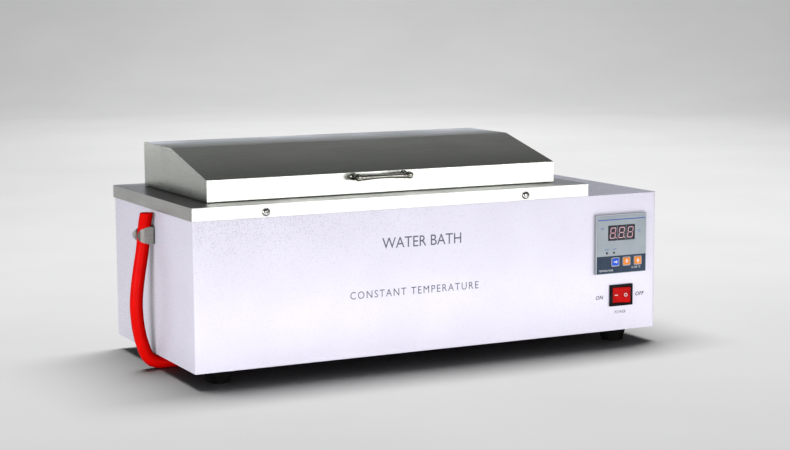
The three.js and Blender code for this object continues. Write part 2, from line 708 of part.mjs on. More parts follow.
function lamp(x) {
  const profile = [[0, 0], [leds.radius, 0], [leds.radius, 5], [0.7, 5.6], [0, 5.8]];
  return turned(profile, [x, faceFront + 5.4, leds.z], axisY.clone().negate(), 12);
}

/** The board behind the face, with the tall parts of its power supply. */
function controllerBoard() {
  const { x, z, body } = PANEL;
  const size = body - 5;
  return join(
    block(around(x, size), [4, 5.6], around(z, size)),
    block([x - 24, x + 2], [5, 27], [z - 26, z - 4]),
    rod(8, [x + 18, 5, z - 14], [x + 18, 30, z - 14]),
    block([x - 22, x + 20], [5, 16], [z + 12, z + 24]),
  );
}

/** The frame that slides on from behind and pulls the bezel against the cabinet. */
function clampFrame() {
  const { x, z, body } = PANEL;
  const y = [CASE.sheet + GAP, CASE.sheet + 7];
  const grip = body + 2 * GAP;
  return cut(
    block(around(x, body + 8), y, around(z, body + 8)),
    block(around(x, grip), [y[0] - 1, y[1] + 1], around(z, grip)),
  );
}

part("controller_housing", controllerHousing(), greyPlastic);
part("controller_fascia", controllerFascia(), greyPlastic);
part("controller_clamp_frame", clampFrame(), blackPlastic);
part("controller_board", controllerBoard(), circuitGreen);
part("display_window", displayWindow(), darkWindow);
part("key_set", key(KEY.x[0]), bluePlastic);
part("key_down", key(KEY.x[1]), orangePlastic);
part("key_up", key(KEY.x[2]), orangePlastic);
part("lamp_heating", lamp(leds.x[0]), ledPlastic);
part("lamp_alarm", lamp(leds.x[1]), ledPlastic);

// ---------------------------------------------------------------- power switch

/** The rocker's housing: a rim on the cabinet's face, a pocket for the rocker and three blades behind. */
function switchHousing() {
  const { x, z, width, height, rim } = SWITCH;
  const front = block(around(x, width), [-GAP - rim, -GAP], around(z, height));
  const body = block(around(x, width - 3.6), [-1, 22], around(z, height - 4.2));
  const pocket = block(around(x, 2 * ROCKER.radius + 0.8), [-9, 15.5], around(z, ROCKER.height + 0.8));
  const blades = [-10, 0, 10].map((along) => block(around(x + along, 1), [20, 32], around(z, 6.3)));
  return join(cut(join(front, body), pocket), ...blades);
}

/** The rocker, drawn at its middle position and then tilted until its left, ON end is pressed in. */
function switchRocker() {
  const { pivotY, radius, valley, height, tilt } = ROCKER;
  const corner = THREE.MathUtils.degToRad(ROCKER.corner);
  const root = THREE.MathUtils.degToRad(ROCKER.root);
  const shape = new THREE.Shape();
  shape.moveTo(0, valley);
  shape.lineTo(-radius * Math.cos(corner), radius * Math.sin(corner));
  shape.absarc(0, 0, radius, Math.PI - corner, Math.PI - root, false);
  shape.lineTo(0, -radius * 0.75);
  shape.absarc(0, 0, radius, root, corner, false);
  const geometry = new THREE.ExtrudeGeometry(shape, { depth: height, bevelEnabled: false, curveSegments: 4 });
  geometry.translate(0, 0, -height / 2);
  geometry.rotateZ(THREE.MathUtils.degToRad(tilt));
  geometry.rotateX(Math.PI);
  geometry.translate(SWITCH.x, pivotY, SWITCH.z);
  return solid(geometry);
}

part("switch_housing", switchHousing(), blackPlastic);
part("switch_rocker", switchRocker(), redPlastic);

// ---------------------------------------------------------------- wiring inside the control compartment

/** The mains cable's gland: a hexagon and a domed nut outside, and a thread through the cabinet's back. */
function cableGland() {
  const { x, z, bore, thread, reach } = GLAND;
  const back = CASE.depth + GAP;
  const profile = [
    [bore, -14],
    [thread, -14],
    [thread, 0],
    [11, 0],
    [11, 5],
    [10, 5.6],
    [9.6, 14],
    [7.4, reach - 1],
    [bore + 1.2, reach],
    [bore, reach],
    [bore, -14],
  ];
  return turned(profile, [x, back, z], axisY, 20);
}

function glandNut() {
  const wall = CASE.depth - CASE.sheet - GAP;
  return hexNut(12, GLAND.thread + 0.35, [GLAND.x, wall - 5, GLAND.z], [GLAND.x, wall, GLAND.z]);
}

/** A four-way terminal strip on the tray, with a stepped top and a screw well in each way. */
function terminalBlock() {
  const { x, y, count, pitch } = TERMINALS;
  const span = [x, x + count * pitch];
  const strip = join(
    block(span, around(y, 24), [CASE.sheet + GAP, 16]),
    block(span, around(y, 12), [15, 24]),
  );
  const wells = Array.from({ length: count }, (_, i) => {
    const middle = x + (i + 0.5) * pitch;
    return rod(3, [middle, y, 17], [middle, y, 30], { sides: 10 });
  });
  return cut(strip, ...wells);
}

/** The relay that switches the heater, on its socket. */
const powerRelay = () =>
  join(
    block(around(RELAY.x, 36), around(RELAY.y, 32), [CASE.sheet + GAP, 14]),
    block(around(RELAY.x, 30), around(RELAY.y, 26), [13, 52]),
  );

const wire = (points, radius = 1.3) =>
  swept(radius, new THREE.CatmullRomCurve3(points.map((point) => new THREE.Vector3(...point))), 14, 6);

/** A lead from one end of the heater, through the divider's window and down its own lane to a terminal. */
const heaterLead = (y, laneX, terminalX) =>
  wire([
    [TANK.x[1] + 22.4, y, HEATER.z],
    [TANK.x[1] + 30, y, HEATER.z],
    [503, y + 4, 88],
    [laneX, y + 18, 62],
    [laneX, 183, 30],
    [terminalX, 193, 20],
    [terminalX, 201.6, 20],
  ]);

const sensorLead = () =>
  wire(
    [
      [TANK.x[1] + 16.4, SENSOR.y, SENSOR.z],
      [TANK.x[1] + 30, SENSOR.y, SENSOR.z + 3],
      [505, 130, 106],
      [525, 110, 108],
      [540, 92, 106.4],
      [540, 75, 106.4],
    ],
    1.6,
  );

part("cable_gland", cableGland(), blackPlastic);
part("cable_gland_nut", glandNut(), blackPlastic);
part("terminal_block", terminalBlock(), whitePlastic);
part("power_relay", powerRelay(), whitePlastic);
part("heater_lead_front", heaterLead(HEATER.y[0], 504, 517), blackPlastic);
part("heater_lead_rear", heaterLead(HEATER.y[1], 512, 531), redPlastic);
part("sensor_lead", sensorLead(), greyPlastic);

// ---------------------------------------------------------------- the object's own frame

// The clip reaches furthest left, the cabinet furthest right, the keys furthest forward and the cable
// gland furthest back. The feet stand on the ground.
const left = -CLIP.reach;
const front = faceFront - KEY.proud;
const rear = CASE.depth + GAP + GLAND.reach;
group.position.set(-(left + CASE.length) / 2, -(front + rear) / 2, FOOT.height);

export default group;
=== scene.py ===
"""A laboratory water bath: finer pieces, finishes, a floor, lights and a camera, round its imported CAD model.

Pieces are drawn in the cabinet's own millimetres: X from its left end, Y from its front face towards its
back and Z up from its bottom edge. They are then moved into the frame, which is in metres. The floor and the
lights are placed in the frame itself.
"""

import math

import bmesh
import bpy
from mathutils import Matrix, Vector


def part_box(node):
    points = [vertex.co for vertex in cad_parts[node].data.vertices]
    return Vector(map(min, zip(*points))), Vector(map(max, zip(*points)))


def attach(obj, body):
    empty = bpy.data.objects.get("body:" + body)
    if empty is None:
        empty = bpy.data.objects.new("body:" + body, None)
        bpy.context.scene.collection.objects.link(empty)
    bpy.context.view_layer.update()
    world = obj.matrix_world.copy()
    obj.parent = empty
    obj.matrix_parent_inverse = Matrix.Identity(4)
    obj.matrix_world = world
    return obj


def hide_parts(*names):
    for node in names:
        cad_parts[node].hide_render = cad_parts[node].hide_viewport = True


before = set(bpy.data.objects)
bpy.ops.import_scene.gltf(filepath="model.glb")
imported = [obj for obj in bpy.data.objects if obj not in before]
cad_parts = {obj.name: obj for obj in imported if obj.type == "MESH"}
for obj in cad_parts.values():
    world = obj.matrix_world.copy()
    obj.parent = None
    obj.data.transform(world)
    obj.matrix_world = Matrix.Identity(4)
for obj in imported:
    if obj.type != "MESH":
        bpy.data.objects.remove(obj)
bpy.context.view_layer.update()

MM = 0.001
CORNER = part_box("outer_case")[0]
TO_FRAME = Matrix.Translation(CORNER) @ Matrix.Scale(MM, 4)
X, Y, Z = Vector((1, 0, 0)), Vector((0, 1, 0)), Vector((0, 0, 1))


def at(x, y, z):
    """A point of the cabinet's millimetres, in the frame."""
    return TO_FRAME @ Vector((x, y, z))


# ---------------------------------------------------------------- camera

# its place in the cabinet's millimetres, its angles in degrees, and its lens and sensor in mm
CAMERA = {
    "place": (-658.3, -1780.4, 410.1),
    "azimuth": -26.83,
    "elevation": 7.49,
    "roll": -0.26,
    "lens": 81.2,
    "sensor": 36,
}


def make_camera():
    azimuth, elevation, roll = (math.radians(CAMERA[k]) for k in ("azimuth", "elevation", "roll"))
    level = math.cos(elevation)
    back = Vector((math.sin(azimuth) * level, -math.cos(azimuth) * level, math.sin(elevation)))
    right = (-back).cross(Z).normalized()
    up = right.cross(-back)
    tilted = right * math.cos(roll) + up * math.sin(roll)
    turned = -right * math.sin(roll) + up * math.cos(roll)
    camera = bpy.data.objects.new("camera", bpy.data.cameras.new("camera"))
    turn = Matrix((tilted, turned, back)).transposed().to_4x4()
    camera.matrix_world = Matrix.Translation(at(*CAMERA["place"])) @ turn
    camera.data.lens = CAMERA["lens"]
    camera.data.sensor_width = CAMERA["sensor"]
    camera.data.clip_end = 100
    bpy.context.scene.collection.objects.link(camera)
    bpy.context.scene.camera = camera


make_camera()


# ---------------------------------------------------------------- finishes


class Look:
    """A procedural material, whose fields are noises in the object's own space."""

    def __init__(self, name, **sockets):
        self.material = bpy.data.materials.new(name)
        self.material.use_nodes = True
        self.tree = self.material.node_tree
        self.bsdf = self.tree.nodes["Principled BSDF"]
        for socket, value in sockets.items():
            self.bsdf.inputs[socket.replace("_", " ").title().replace("Ior", "IOR")].default_value = value
        self.place = self.node("ShaderNodeTexCoord").outputs["Object"]

    def node(self, kind, inputs=(), **settings):
        made = self.tree.nodes.new(kind)
        for key, value in settings.items():
            setattr(made, key, value)
        for key, value in dict(inputs).items():
            if isinstance(value, bpy.types.NodeSocket):
                self.tree.links.new(value, made.inputs[key])
            else:
                made.inputs[key].default_value = value
        return made

    def noise(self, size_mm, stretch=(1, 1, 1), detail=2.0, seed=0.0):
        """Smooth noise whose features are about size_mm across, drawn out along each axis by stretch."""
        scale = [1 / (size_mm * MM * s) for s in stretch]
        mapping = {"Vector": self.place, "Scale": scale, "Location": (seed, seed, seed)}
        moved = self.node("ShaderNodeMapping", mapping)
        made = self.node("ShaderNodeTexNoise", {"Vector": moved.outputs[0], "Scale": 1.0, "Detail": detail})
        return made.outputs["Fac"]

    def spread(self, field, low, high, clip=(0.35, 0.65)):
        """The field's middle range, stretched to run from low to high."""
        made = self.node(
            "ShaderNodeMapRange",
            {"Value": field, "From Min": clip[0], "From Max": clip[1], "To Min": low, "To Max": high},
        )
        return made.outputs[0]

    def blend(self, field, one, other):
        """A colour, or a colour field, between two others."""
        made = self.node("ShaderNodeMix", {"Factor": field}, data_type="RGBA")
        for socket, value in ((6, one), (7, other)):
            if isinstance(value, bpy.types.NodeSocket):
                self.tree.links.new(value, made.inputs[socket])
            else:
                made.inputs[socket].default_value = (*value, 1)
        return made.outputs[2]

    def colour(self, socket):
        self.tree.links.new(socket, self.bsdf.inputs["Base Color"])
        return self

    def rough(self, field, low, high, clip=(0.35, 0.65)):
        self.tree.links.new(self.spread(field, low, high, clip), self.bsdf.inputs["Roughness"])
        return self

    def bumps(self, *fields, distance_mm=0.05, strength=0.5):
        """Relief from one or more fields, each stacked on the last."""
        normal = None
        for field in fields:
            sockets = {"Height": field, "Strength": strength, "Distance": distance_mm * MM}
            if normal is not None:
                sockets["Normal"] = normal
            normal = self.node("ShaderNodeBump", sockets).outputs[0]
        self.tree.links.new(normal, self.bsdf.inputs["Normal"])
        return self


def powder_coat(name, light, dark, grain):
    """Textured powder coat: orange peel, with fine dark specks of painted shade, densest at the front's top
    left.
    """
    look = Look(name, specular_ior_level=0.5)
    peel = look.noise(1.6, detail=3)
    grain_relief_and_shade_specks = look.noise(1.3, detail=1, seed=3)
    cloud = look.noise(60, detail=2, seed=7)
    place = look.node("ShaderNodeSeparateXYZ", {0: look.place})
    facing = look.node("ShaderNodeSeparateXYZ", {0: look.node("ShaderNodeNewGeometry").outputs["Normal"]})
    # Painted shade: dark specks for the shade of the orange peel under grazing light, on front faces only,
    # more towards the top and the left; grain is their colour.
    is_front = look.node("ShaderNodeMath", {0: facing.outputs[1], 1: -0.7}, operation="LESS_THAN")
    height = look.spread(place.outputs[2], 0.0, 1.0, (0.085, 0.19))
    towards_left = look.spread(place.outputs[0], 1.0, 0.1, (-0.2, 0.12))
    shade_amount = look.node("ShaderNodeMath", {0: height, 1: towards_left}, operation="MULTIPLY")
    shade_amount = look.node("ShaderNodeMath", {0: shade_amount.outputs[0], 1: is_front.outputs[0]}, operation="MULTIPLY")
    shade_density = look.node("ShaderNodeMath", {0: shade_amount.outputs[0], 1: 0.23, 2: grain_relief_and_shade_specks}, operation="MULTIPLY_ADD")
    painted_shade_specks = look.spread(shade_density.outputs[0], 0, 0.6, (0.69, 0.88))
    base = look.blend(look.spread(cloud, 0, 1), light, dark)
    look.colour(look.blend(painted_shade_specks, base, grain))
    look.rough(peel, 0.26, 0.36)
    return look.bumps(peel, grain_relief_and_shade_specks, distance_mm=0.02, strength=0.3)


def brushed(name, light, dark, rough=(0.22, 0.36), size=0.35):
    """Brushed sheet: fine lines along X, or along Y on faces that look along X, with faint clouds."""
    look = Look(name, metallic=1.0)
    lines_x = look.noise(size, (120, 1, 1), detail=3)
    lines_y = look.noise(size, (1, 120, 1), detail=3, seed=5)
    facing = look.node("ShaderNodeSeparateXYZ", {0: look.node("ShaderNodeNewGeometry").outputs["Normal"]})
    sideways = look.node("ShaderNodeMath", {0: facing.outputs[0]}, operation="ABSOLUTE")
    is_end = look.node("ShaderNodeMath", {0: sideways.outputs[0], 1: 0.7}, operation="GREATER_THAN")
    lines = look.node("ShaderNodeMix", {0: is_end.outputs[0], 2: lines_x, 3: lines_y}).outputs[0]
    cloud = look.noise(45, (2, 1, 1), detail=4, seed=11)
    shade = look.blend(look.spread(lines, 0, 1, (0.3, 0.7)), light, dark)
    look.colour(look.blend(look.spread(cloud, 0, 0.35), shade, dark))
    mixed = look.node("ShaderNodeMath", {0: lines, 1: cloud}, operation="ADD").outputs[0]
    look.rough(mixed, *rough, clip=(0.75, 1.25))
    return look.bumps(lines, distance_mm=0.012, strength=0.4)


def plated(name, light, dark, rough=(0.06, 0.16)):
    look = Look(name, metallic=1.0)
    haze = look.noise(3, detail=4)
    look.colour(look.blend(look.spread(haze, 0, 1), light, dark))
    look.rough(haze, *rough)
    return look.bumps(look.noise(1.2, detail=2, seed=2), distance_mm=0.008, strength=0.3)


def moulded(name, light, dark, rough=(0.4, 0.55), grain_mm=0.5, depth_mm=0.02, **sockets):
    """Moulded plastic or rubber: a fine grain with faint flow clouds."""
    look = Look(name, **sockets)
    grain = look.noise(grain_mm, detail=2)
    cloud = look.noise(14, detail=3, seed=4)
    look.colour(look.blend(look.spread(cloud, 0, 1), light, dark))
    look.rough(grain, *rough)
    return look.bumps(grain, distance_mm=depth_mm, strength=0.35)


def printed(name, ink, worn):
    """Screen print: solid ink that thins a little in specks."""
    return moulded(name, ink, worn, rough=(0.45, 0.6), grain_mm=0.3, depth_mm=0.004, specular_ior_level=0.12)


LOOKS = {
    # the third colour is the painted shade of the powder coat's specks
    "paint": powder_coat("powder_coat", (0.8, 0.77, 0.9), (0.77, 0.74, 0.865), (0.46, 0.45, 0.53)),
    "steel": brushed("brushed_steel", (0.5, 0.515, 0.48), (0.4, 0.415, 0.375), rough=(0.2, 0.32)),
    "deck": brushed("deck_steel", (0.5, 0.5, 0.49), (0.4, 0.4, 0.39), rough=(0.3, 0.44)),
    "satin": brushed("satin_steel", (0.5, 0.495, 0.48), (0.4, 0.395, 0.38), rough=(0.32, 0.48), size=0.6),
    "clip": brushed("spring_steel", (0.74, 0.72, 0.69), (0.58, 0.565, 0.54), rough=(0.38, 0.52), size=0.8),
    "bright": plated("bright_plating", (0.72, 0.71, 0.69), (0.5, 0.49, 0.47)),
    # The handle's plating: rougher, and darker in colour as painted shade for the dark surroundings its chrome
    # reflects.
    "cast": plated("dulled_and_shaded_plating", (0.36, 0.35, 0.31), (0.24, 0.235, 0.205), rough=(0.16, 0.28)),
    "brass": plated("brass", (0.68, 0.5, 0.22), (0.5, 0.34, 0.13), rough=(0.2, 0.4)),
    "rubber": moulded("black_rubber", (0.002, 0.002, 0.002), (0.006, 0.0065, 0.006), (0.55, 0.75),
                      0.9, 0.05, specular_ior_level=0.05),
    "hose": moulded("red_rubber", (0.78, 0.0025, 0.001), (0.72, 0.002, 0.001), (0.3, 0.38), 1.6, 0.006,
                    specular_ior_level=0.05),
    "black": moulded("black_plastic", (0.006, 0.006, 0.007), (0.011, 0.011, 0.013), (0.28, 0.42),
                     specular_ior_level=0.03),
    "bezel": moulded("grey_plastic", (0.5, 0.53, 0.58), (0.46, 0.49, 0.54), (0.4, 0.5)),
    "face": moulded("silver_sheet", (0.33, 0.37, 0.41), (0.3, 0.34, 0.38), (0.38, 0.48), 0.25, 0.006),
    "slate": printed("slate_print", (0.032, 0.05, 0.085), (0.042, 0.062, 0.098)),
    "blue_ink": printed("blue_print", (0.02, 0.08, 0.4), (0.03, 0.1, 0.45)),
    "white_ink": printed("white_print", (0.75, 0.76, 0.78), (0.6, 0.61, 0.63)),
    "grey_ink": printed("grey_print", (0.1, 0.115, 0.15), (0.15, 0.165, 0.2)),
    "dark_ink": printed("dark_print", (0.02, 0.022, 0.03), (0.04, 0.042, 0.05)),
    "window": moulded("display_filter", (0.02, 0.024, 0.034), (0.03, 0.034, 0.046), (0.12, 0.2), 2, 0.004),
    "key_blue": moulded("blue_key", (0.004, 0.09, 0.7), (0.003, 0.07, 0.6), (0.4, 0.5),
                        specular_ior_level=0.3),
    "key_orange": moulded("orange_key", (0.9, 0.27, 0.02), (0.82, 0.23, 0.015), (0.4, 0.5),
                          specular_ior_level=0.3),
    "lens": moulded("dark_lens", (0.012, 0.016, 0.01), (0.02, 0.024, 0.016), (0.15, 0.25)),
    "rocker": moulded("red_rocker", (0.56, 0.001, 0.001), (0.4, 0.001, 0.001), (0.14, 0.22), 3, 0.01,
                      specular_ior_level=0.04),
    "white": moulded("white_plastic", (0.66, 0.64, 0.57), (0.58, 0.56, 0.5), (0.4, 0.5)),
    "board": moulded("circuit_board", (0.01, 0.1, 0.035), (0.015, 0.14, 0.05), (0.3, 0.4), 1.2, 0.03),
    "red_wire": moulded("red_insulation", (0.5, 0.01, 0.008), (0.42, 0.008, 0.006), (0.35, 0.45)),
    "grey_wire": moulded("grey_insulation", (0.25, 0.26, 0.27), (0.3, 0.31, 0.32), (0.35, 0.45)),
}


def lit_segments():
    look = Look("lit_segments", emission_strength=0.12, roughness=0.5)
    glow = look.spread(look.noise(5, detail=2), 0, 1, (0.4, 0.6))
    pink = look.blend(glow, (0.62, 0.3, 0.34), (0.56, 0.36, 0.41))
    look.tree.links.new(pink, look.bsdf.inputs["Emission Color"])
    return look.colour(pink)


def glass_wool():
    look = Look("glass_wool", roughness=0.95)
    fibres = look.noise(1.2, (6, 1, 1), detail=4)
    tufts = look.noise(14, detail=3, seed=9)
    base = look.blend(look.spread(fibres, 0, 1), (0.66, 0.55, 0.26), (0.42, 0.33, 0.13))
    look.colour(look.blend(look.spread(tufts, 0, 0.5), base, (0.72, 0.63, 0.36)))
    return look.bumps(fibres, tufts, distance_mm=0.8, strength=0.8)


LOOKS["clip"].bsdf.inputs["Metallic"].default_value = 0.3
LOOKS["digits"] = lit_segments()
LOOKS["wool"] = glass_wool()


# ---------------------------------------------------------------- drawing in meshes


def finish_object(obj, body, bevel=0.0, segments=2, angle=32):
    """Smooths a piece up to its sharp edges, softens those and makes it ride on its body."""
    for polygon in obj.data.polygons:
        polygon.use_smooth = True
    obj.data.set_sharp_from_angle(angle=math.radians(angle))
    if bevel:
        soften(obj, bevel, segments)
    bpy.context.scene.collection.objects.link(obj)
    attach(obj, body)
    return obj


def soften(obj, width_mm, segments=2, angle=32):
    bevel = obj.modifiers.new("soft edges", "BEVEL")
    bevel.width = width_mm * MM
    bevel.segments = segments
    bevel.limit_method = "ANGLE"
    bevel.angle_limit = math.radians(angle)
    bevel.harden_normals = True


def piece(name, bm, look, body="cabinet", bevel=0.0, segments=2, replaces=()):
    """Turns a bmesh in the cabinet's millimetres into a piece of the object."""
    bmesh.ops.recalc_face_normals(bm, faces=bm.faces[:])
    bm.transform(TO_FRAME)
    mesh = bpy.data.meshes.new(name)
    bm.to_mesh(mesh)
    bm.free()
    mesh.materials.append(LOOKS[look].material)
    obj = finish_object(bpy.data.objects.new(name, mesh), body, bevel, segments)
    if replaces:
        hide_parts(*replaces)
    return obj


def bridge(bm, one, other):
    """Faces between two rings of the same count, or between a ring and a single point."""
    count = max(len(one), len(other))
    for k in range(count):
        after = (k + 1) % count
        corners = [one[k % len(one)], one[after % len(one)], other[after % len(other)], other[k % len(other)]]
        unique = list(dict.fromkeys(corners))
        if len(unique) > 2:
            bm.faces.new(unique)


def lathe(bm, profile, origin, axis, steps=48, closed=False):
    """(radius, distance) points turned about an axis. A closed profile is a ring clear of the axis."""
    turn = Z.rotation_difference(Vector(axis)).to_matrix()
    rings = []
    for radius, along in profile:
        count = steps if radius > 1e-6 else 1
        angles = [math.tau * k / count for k in range(count)]
        points = [Vector((radius * math.cos(a), radius * math.sin(a), along)) for a in angles]
        rings.append([bm.verts.new(Vector(origin) + turn @ p) for p in points])
    for one, other in zip(rings, rings[1:] + (rings[:1] if closed else [])):
        bridge(bm, one, other)


def box(bm, x, y, z):
    """A block from its low and high ends along each axis."""
    middle = Vector([(low + high) / 2 for low, high in (x, y, z)])
    size = [high - low for low, high in (x, y, z)]
    bmesh.ops.create_cube(bm, size=1, matrix=Matrix.Translation(middle) @ Matrix.Diagonal((*size, 1)))


def around(middle, width):
    return (middle - width / 2, middle + width / 2)


def plate(bm, outline, y, depth):
    """A flat shape of (x, z) points whose front is at y, pushed back by depth."""
    front = [bm.verts.new((x, y, z)) for x, z in outline]
    back = [bm.verts.new((x, y + depth, z)) for x, z in outline]
    bm.faces.new(front)
    bm.faces.new(back[::-1])
    bridge(bm, front, back)


def spline(points, steps):
    """A smooth line through the points, with this many steps from each to the next."""
    points = [Vector(p) for p in points]
    line = []
    for i in range(len(points) - 1):
        before = points[i - 1] if i else 2 * points[0] - points[1]
        after = points[i + 2] if i + 2 < len(points) else 2 * points[-1] - points[-2]
        one, two = points[i], points[i + 1]
        for k in range(steps):
            t = k / steps
            line.append(
                0.5
                * (
                    2 * one
                    + (two - before) * t
                    + (2 * before - 5 * one + 4 * two - after) * t**2
                    + (3 * one - before - 3 * two + after) * t**3
                )
            )
    return line + [points[-1]]


def tube(bm, line, radius, inner=0.0, sides=40):
    """A round bar along a line, or a pipe where inner is its bore's radius."""
    ahead, behind = line[1:] + line[-1:], line[:1] + line[:-1]
    tangents = [(b - a).normalized() for a, b in zip(behind, ahead)]
    angles = [math.tau * k / sides for k in range(sides)]
    side = tangents[0].orthogonal().normalized()
    outside, inside = [], []
    for i, (point, tangent) in enumerate(zip(line, tangents)):
        if i:
            side = tangents[i - 1].rotation_difference(tangent) @ side
        side = (side - tangent * side.dot(tangent)).normalized()
        other = tangent.cross(side)
        ways = [side * math.cos(a) + other * math.sin(a) for a in angles]
        outside.append([bm.verts.new(point + radius * way) for way in ways])
        if inner:
            inside.append([bm.verts.new(point + inner * way) for way in ways])
    for rings in (outside, inside):
        for one, other in zip(rings, rings[1:]):
            bridge(bm, one, other)
    for end in (0, -1):
        if inner:
            bridge(bm, outside[end], inside[end])
        else:
            bm.faces.new(outside[end])


def rounded_loop(x, y, radius, z, steps=8):
    """The corners of a rounded rectangle at one height."""
    centres = [(x[1] - radius, y[1] - radius), (x[0] + radius, y[1] - radius)]
    centres += [(x[0] + radius, y[0] + radius), (x[1] - radius, y[0] + radius)]
    points = []
    for quarter, (cx, cy) in enumerate(centres):
        for k in range(steps + 1):
            a = math.pi / 2 * (quarter + k / steps)
            points.append((cx + radius * math.cos(a), cy + radius * math.sin(a), z))
    return points


def join_cut(obj, other, operation):
    """Joins another closed mesh to a piece's mesh, or cuts it away, and removes the other."""
    modifier = obj.modifiers.new("boolean", "BOOLEAN")
    modifier.operation = operation
    modifier.solver = "EXACT"
    modifier.object = other
    bpy.context.view_layer.update()
    made = bpy.data.meshes.new_from_object(obj.evaluated_get(bpy.context.evaluated_depsgraph_get()))
    obj.modifiers.clear()
    obj.data = made
    bpy.data.objects.remove(other)


def loose(bm, name="cutter"):
    """A mesh object that only helps to make another. It is still in the cabinet's millimetres."""
    bmesh.ops.recalc_face_normals(bm, faces=bm.faces[:])
    mesh = bpy.data.meshes.new(name)
    bm.to_mesh(mesh)
    bm.free()
    obj = bpy.data.objects.new(name, mesh)
    bpy.context.scene.collection.objects.link(obj)
    return obj


def from_loose(obj):
    """The bmesh of a helper object, which is removed."""
    bm = bmesh.new()
    bm.from_mesh(obj.data)
    bpy.data.objects.remove(obj)
    return bm


# ---------------------------------------------------------------- the drain hose

HOSE_ROUTE = [
    (65.7, 131, -9.1),
    (52, 131, -9.3),
    (38, 131, -10.1),
    (26, 131, -10.4),
    (16, 131, -10.4),
    (8, 131, -10.3),
    (0.8, 131, -9.2),
    (-5.7, 131, -5.8),
    (-10.6, 131, 0.8),
    (-14, 131, 10),
    (-17.4, 131.2, 22),
    (-20, 131.4, 40),
    (-20.8, 131.5, 58),
    (-19.4, 131.6, 76),
    (-16.3, 131.4, 97),
    (-12.8, 130.6, 118),
    (-10.6, 130, 137),
    (-9.5, 129.3, 149.5),
    (-8.4, 125.6, 162.2),
]
HOSE_RADIUS, HOSE_BORE = 7.45, 5.0
HOSE_CUT, HOSE_EASE = 163.0, 14.0  # the height of its open end, and how far down the cut's slant dies away


def cut_level(bm, line, height, ease):
    """Slides the tube's walls along its end's direction, so that the end is cut level."""
    end = line[-1]
    along = (end - line[-2]).normalized()
    for v in bm.verts:
        back = (end - v.co).dot(along)
        share = max(0.0, 1 - abs(back) / ease)
        if share and v.co.z > end.z - 2 * ease:
            side = v.co - end + along * back
            v.co += along * share * (height - end.z - side.z) / along.z


def make_hose():
    line = spline(HOSE_ROUTE, 8)
    bm = bmesh.new()
    tube(bm, line, HOSE_RADIUS, HOSE_BORE, 48)
    cut_level(bm, line, HOSE_CUT, HOSE_EASE)
    hose = piece("drain_hose_soft", bm, "hose", replaces=["drain_hose"])


make_hose()


# ---------------------------------------------------------------- CAD nodes that keep their shape

DRESSED = {
    # look: {node: (softened edge in mm, segments)}
    "paint": {"outer_case": (0.5, 3), "base_plate": (0.4, 2), "divider_panel": (0.3, 1)},
    "steel": {"lid_shell": (0.45, 3), "shelf_leg_front": (0.3, 1), "shelf_leg_rear": (0.3, 1)},
    "deck": {"top_deck": (0.45, 3)},
    "satin": {
        "hinge_deck_leaf_left": (0.25, 2),
        "hinge_deck_leaf_right": (0.25, 2),
        "hinge_lid_leaf_left": (0.25, 2),
        "hinge_lid_leaf_right": (0.25, 2),
        "hinge_pin_left": (0.2, 2),
        "hinge_pin_right": (0.2, 2),
        "hose_clamp": (0.2, 2),
        "sensor_probe": (0.2, 2),
        "heater_element": (0.2, 1),
    },
    "bright": {
        "handle_screw_left": (0.2, 2),
        "handle_screw_right": (0.2, 2),
        "hose_clip_rivet": (0.15, 2),
    },
    "brass": {"heater_nut_front": (0.3, 2), "heater_nut_rear": (0.3, 2), "sensor_nut": (0.3, 2)},
    "bezel": {"controller_housing": (0.35, 3)},
    "face": {"controller_fascia": (0.08, 1)},
    "window": {"display_window": (0.1, 2)},
    "lens": {"lamp_heating": (0.12, 2), "lamp_alarm": (0.12, 2)},
    "key_blue": {"key_set": (0.5, 3)},
    "key_orange": {"key_down": (0.5, 3), "key_up": (0.5, 3)},
    "black": {
        "switch_housing": (0.35, 3),
        "controller_clamp_frame": (0.4, 2),
        "cable_gland_nut": (0.4, 2),
        "heater_lead_front": (0.1, 1),
    },
    "red_wire": {"heater_lead_rear": (0.1, 1)},
    "grey_wire": {"sensor_lead": (0.1, 1)},
    "white": {"terminal_block": (0.4, 2), "power_relay": (0.6, 2)},
    "board": {"controller_board": (0.3, 1)},
    "wool": {"tank_lagging": (2.0, 2)},
}


def dress(node, look, width, segments):
    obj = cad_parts[node]
    stored = obj.data.attributes.get("custom_normal")
    if stored:
        obj.data.attributes.remove(stored)
    for polygon in obj.data.polygons:
        polygon.use_smooth = True
    obj.data.materials.clear()
    obj.data.materials.append(LOOKS[look].material)
    obj.modifiers.new("weld", "WELD").merge_threshold = 1e-5
    flat = obj.modifiers.new("flat faces", "DECIMATE")
    flat.decimate_type = "DISSOLVE"
    flat.angle_limit = math.radians(0.5)
    soften(obj, width, segments)


for look_name, nodes in DRESSED.items():
    for node_name, (width, segments) in nodes.items():
        dress(node_name, look_name, width, segments)


# ---------------------------------------------------------------- feet, screws and the drain

FEET = [("left", 40), ("right", 560)], [("front", 35), ("rear", 230)]  # X of each side, Y of each end


def make_foot(name, x, y):
    """A moulded rubber foot with a waist ring and a screw recess in its sole."""
    bm = bmesh.new()
    profile = [(5.4, -17.6), (5.9, -18), (12.1, -18), (12.8, -17.6), (13.1, -16.8)]
    profile += [(14.6, -11.4), (14.1, -10.9), (14.9, -10.4), (16.4, -5.6), (16.9, -4.6), (17, -1.3)]
    profile += [(16.5, -0.5), (15.9, -0.3), (2.6, -0.3), (2.6, -12), (5.2, -12)]
    lathe(bm, profile, (x, y, 0), Z, 64, closed=True)
    piece(name + "_rubber", bm, "rubber", replaces=[name])


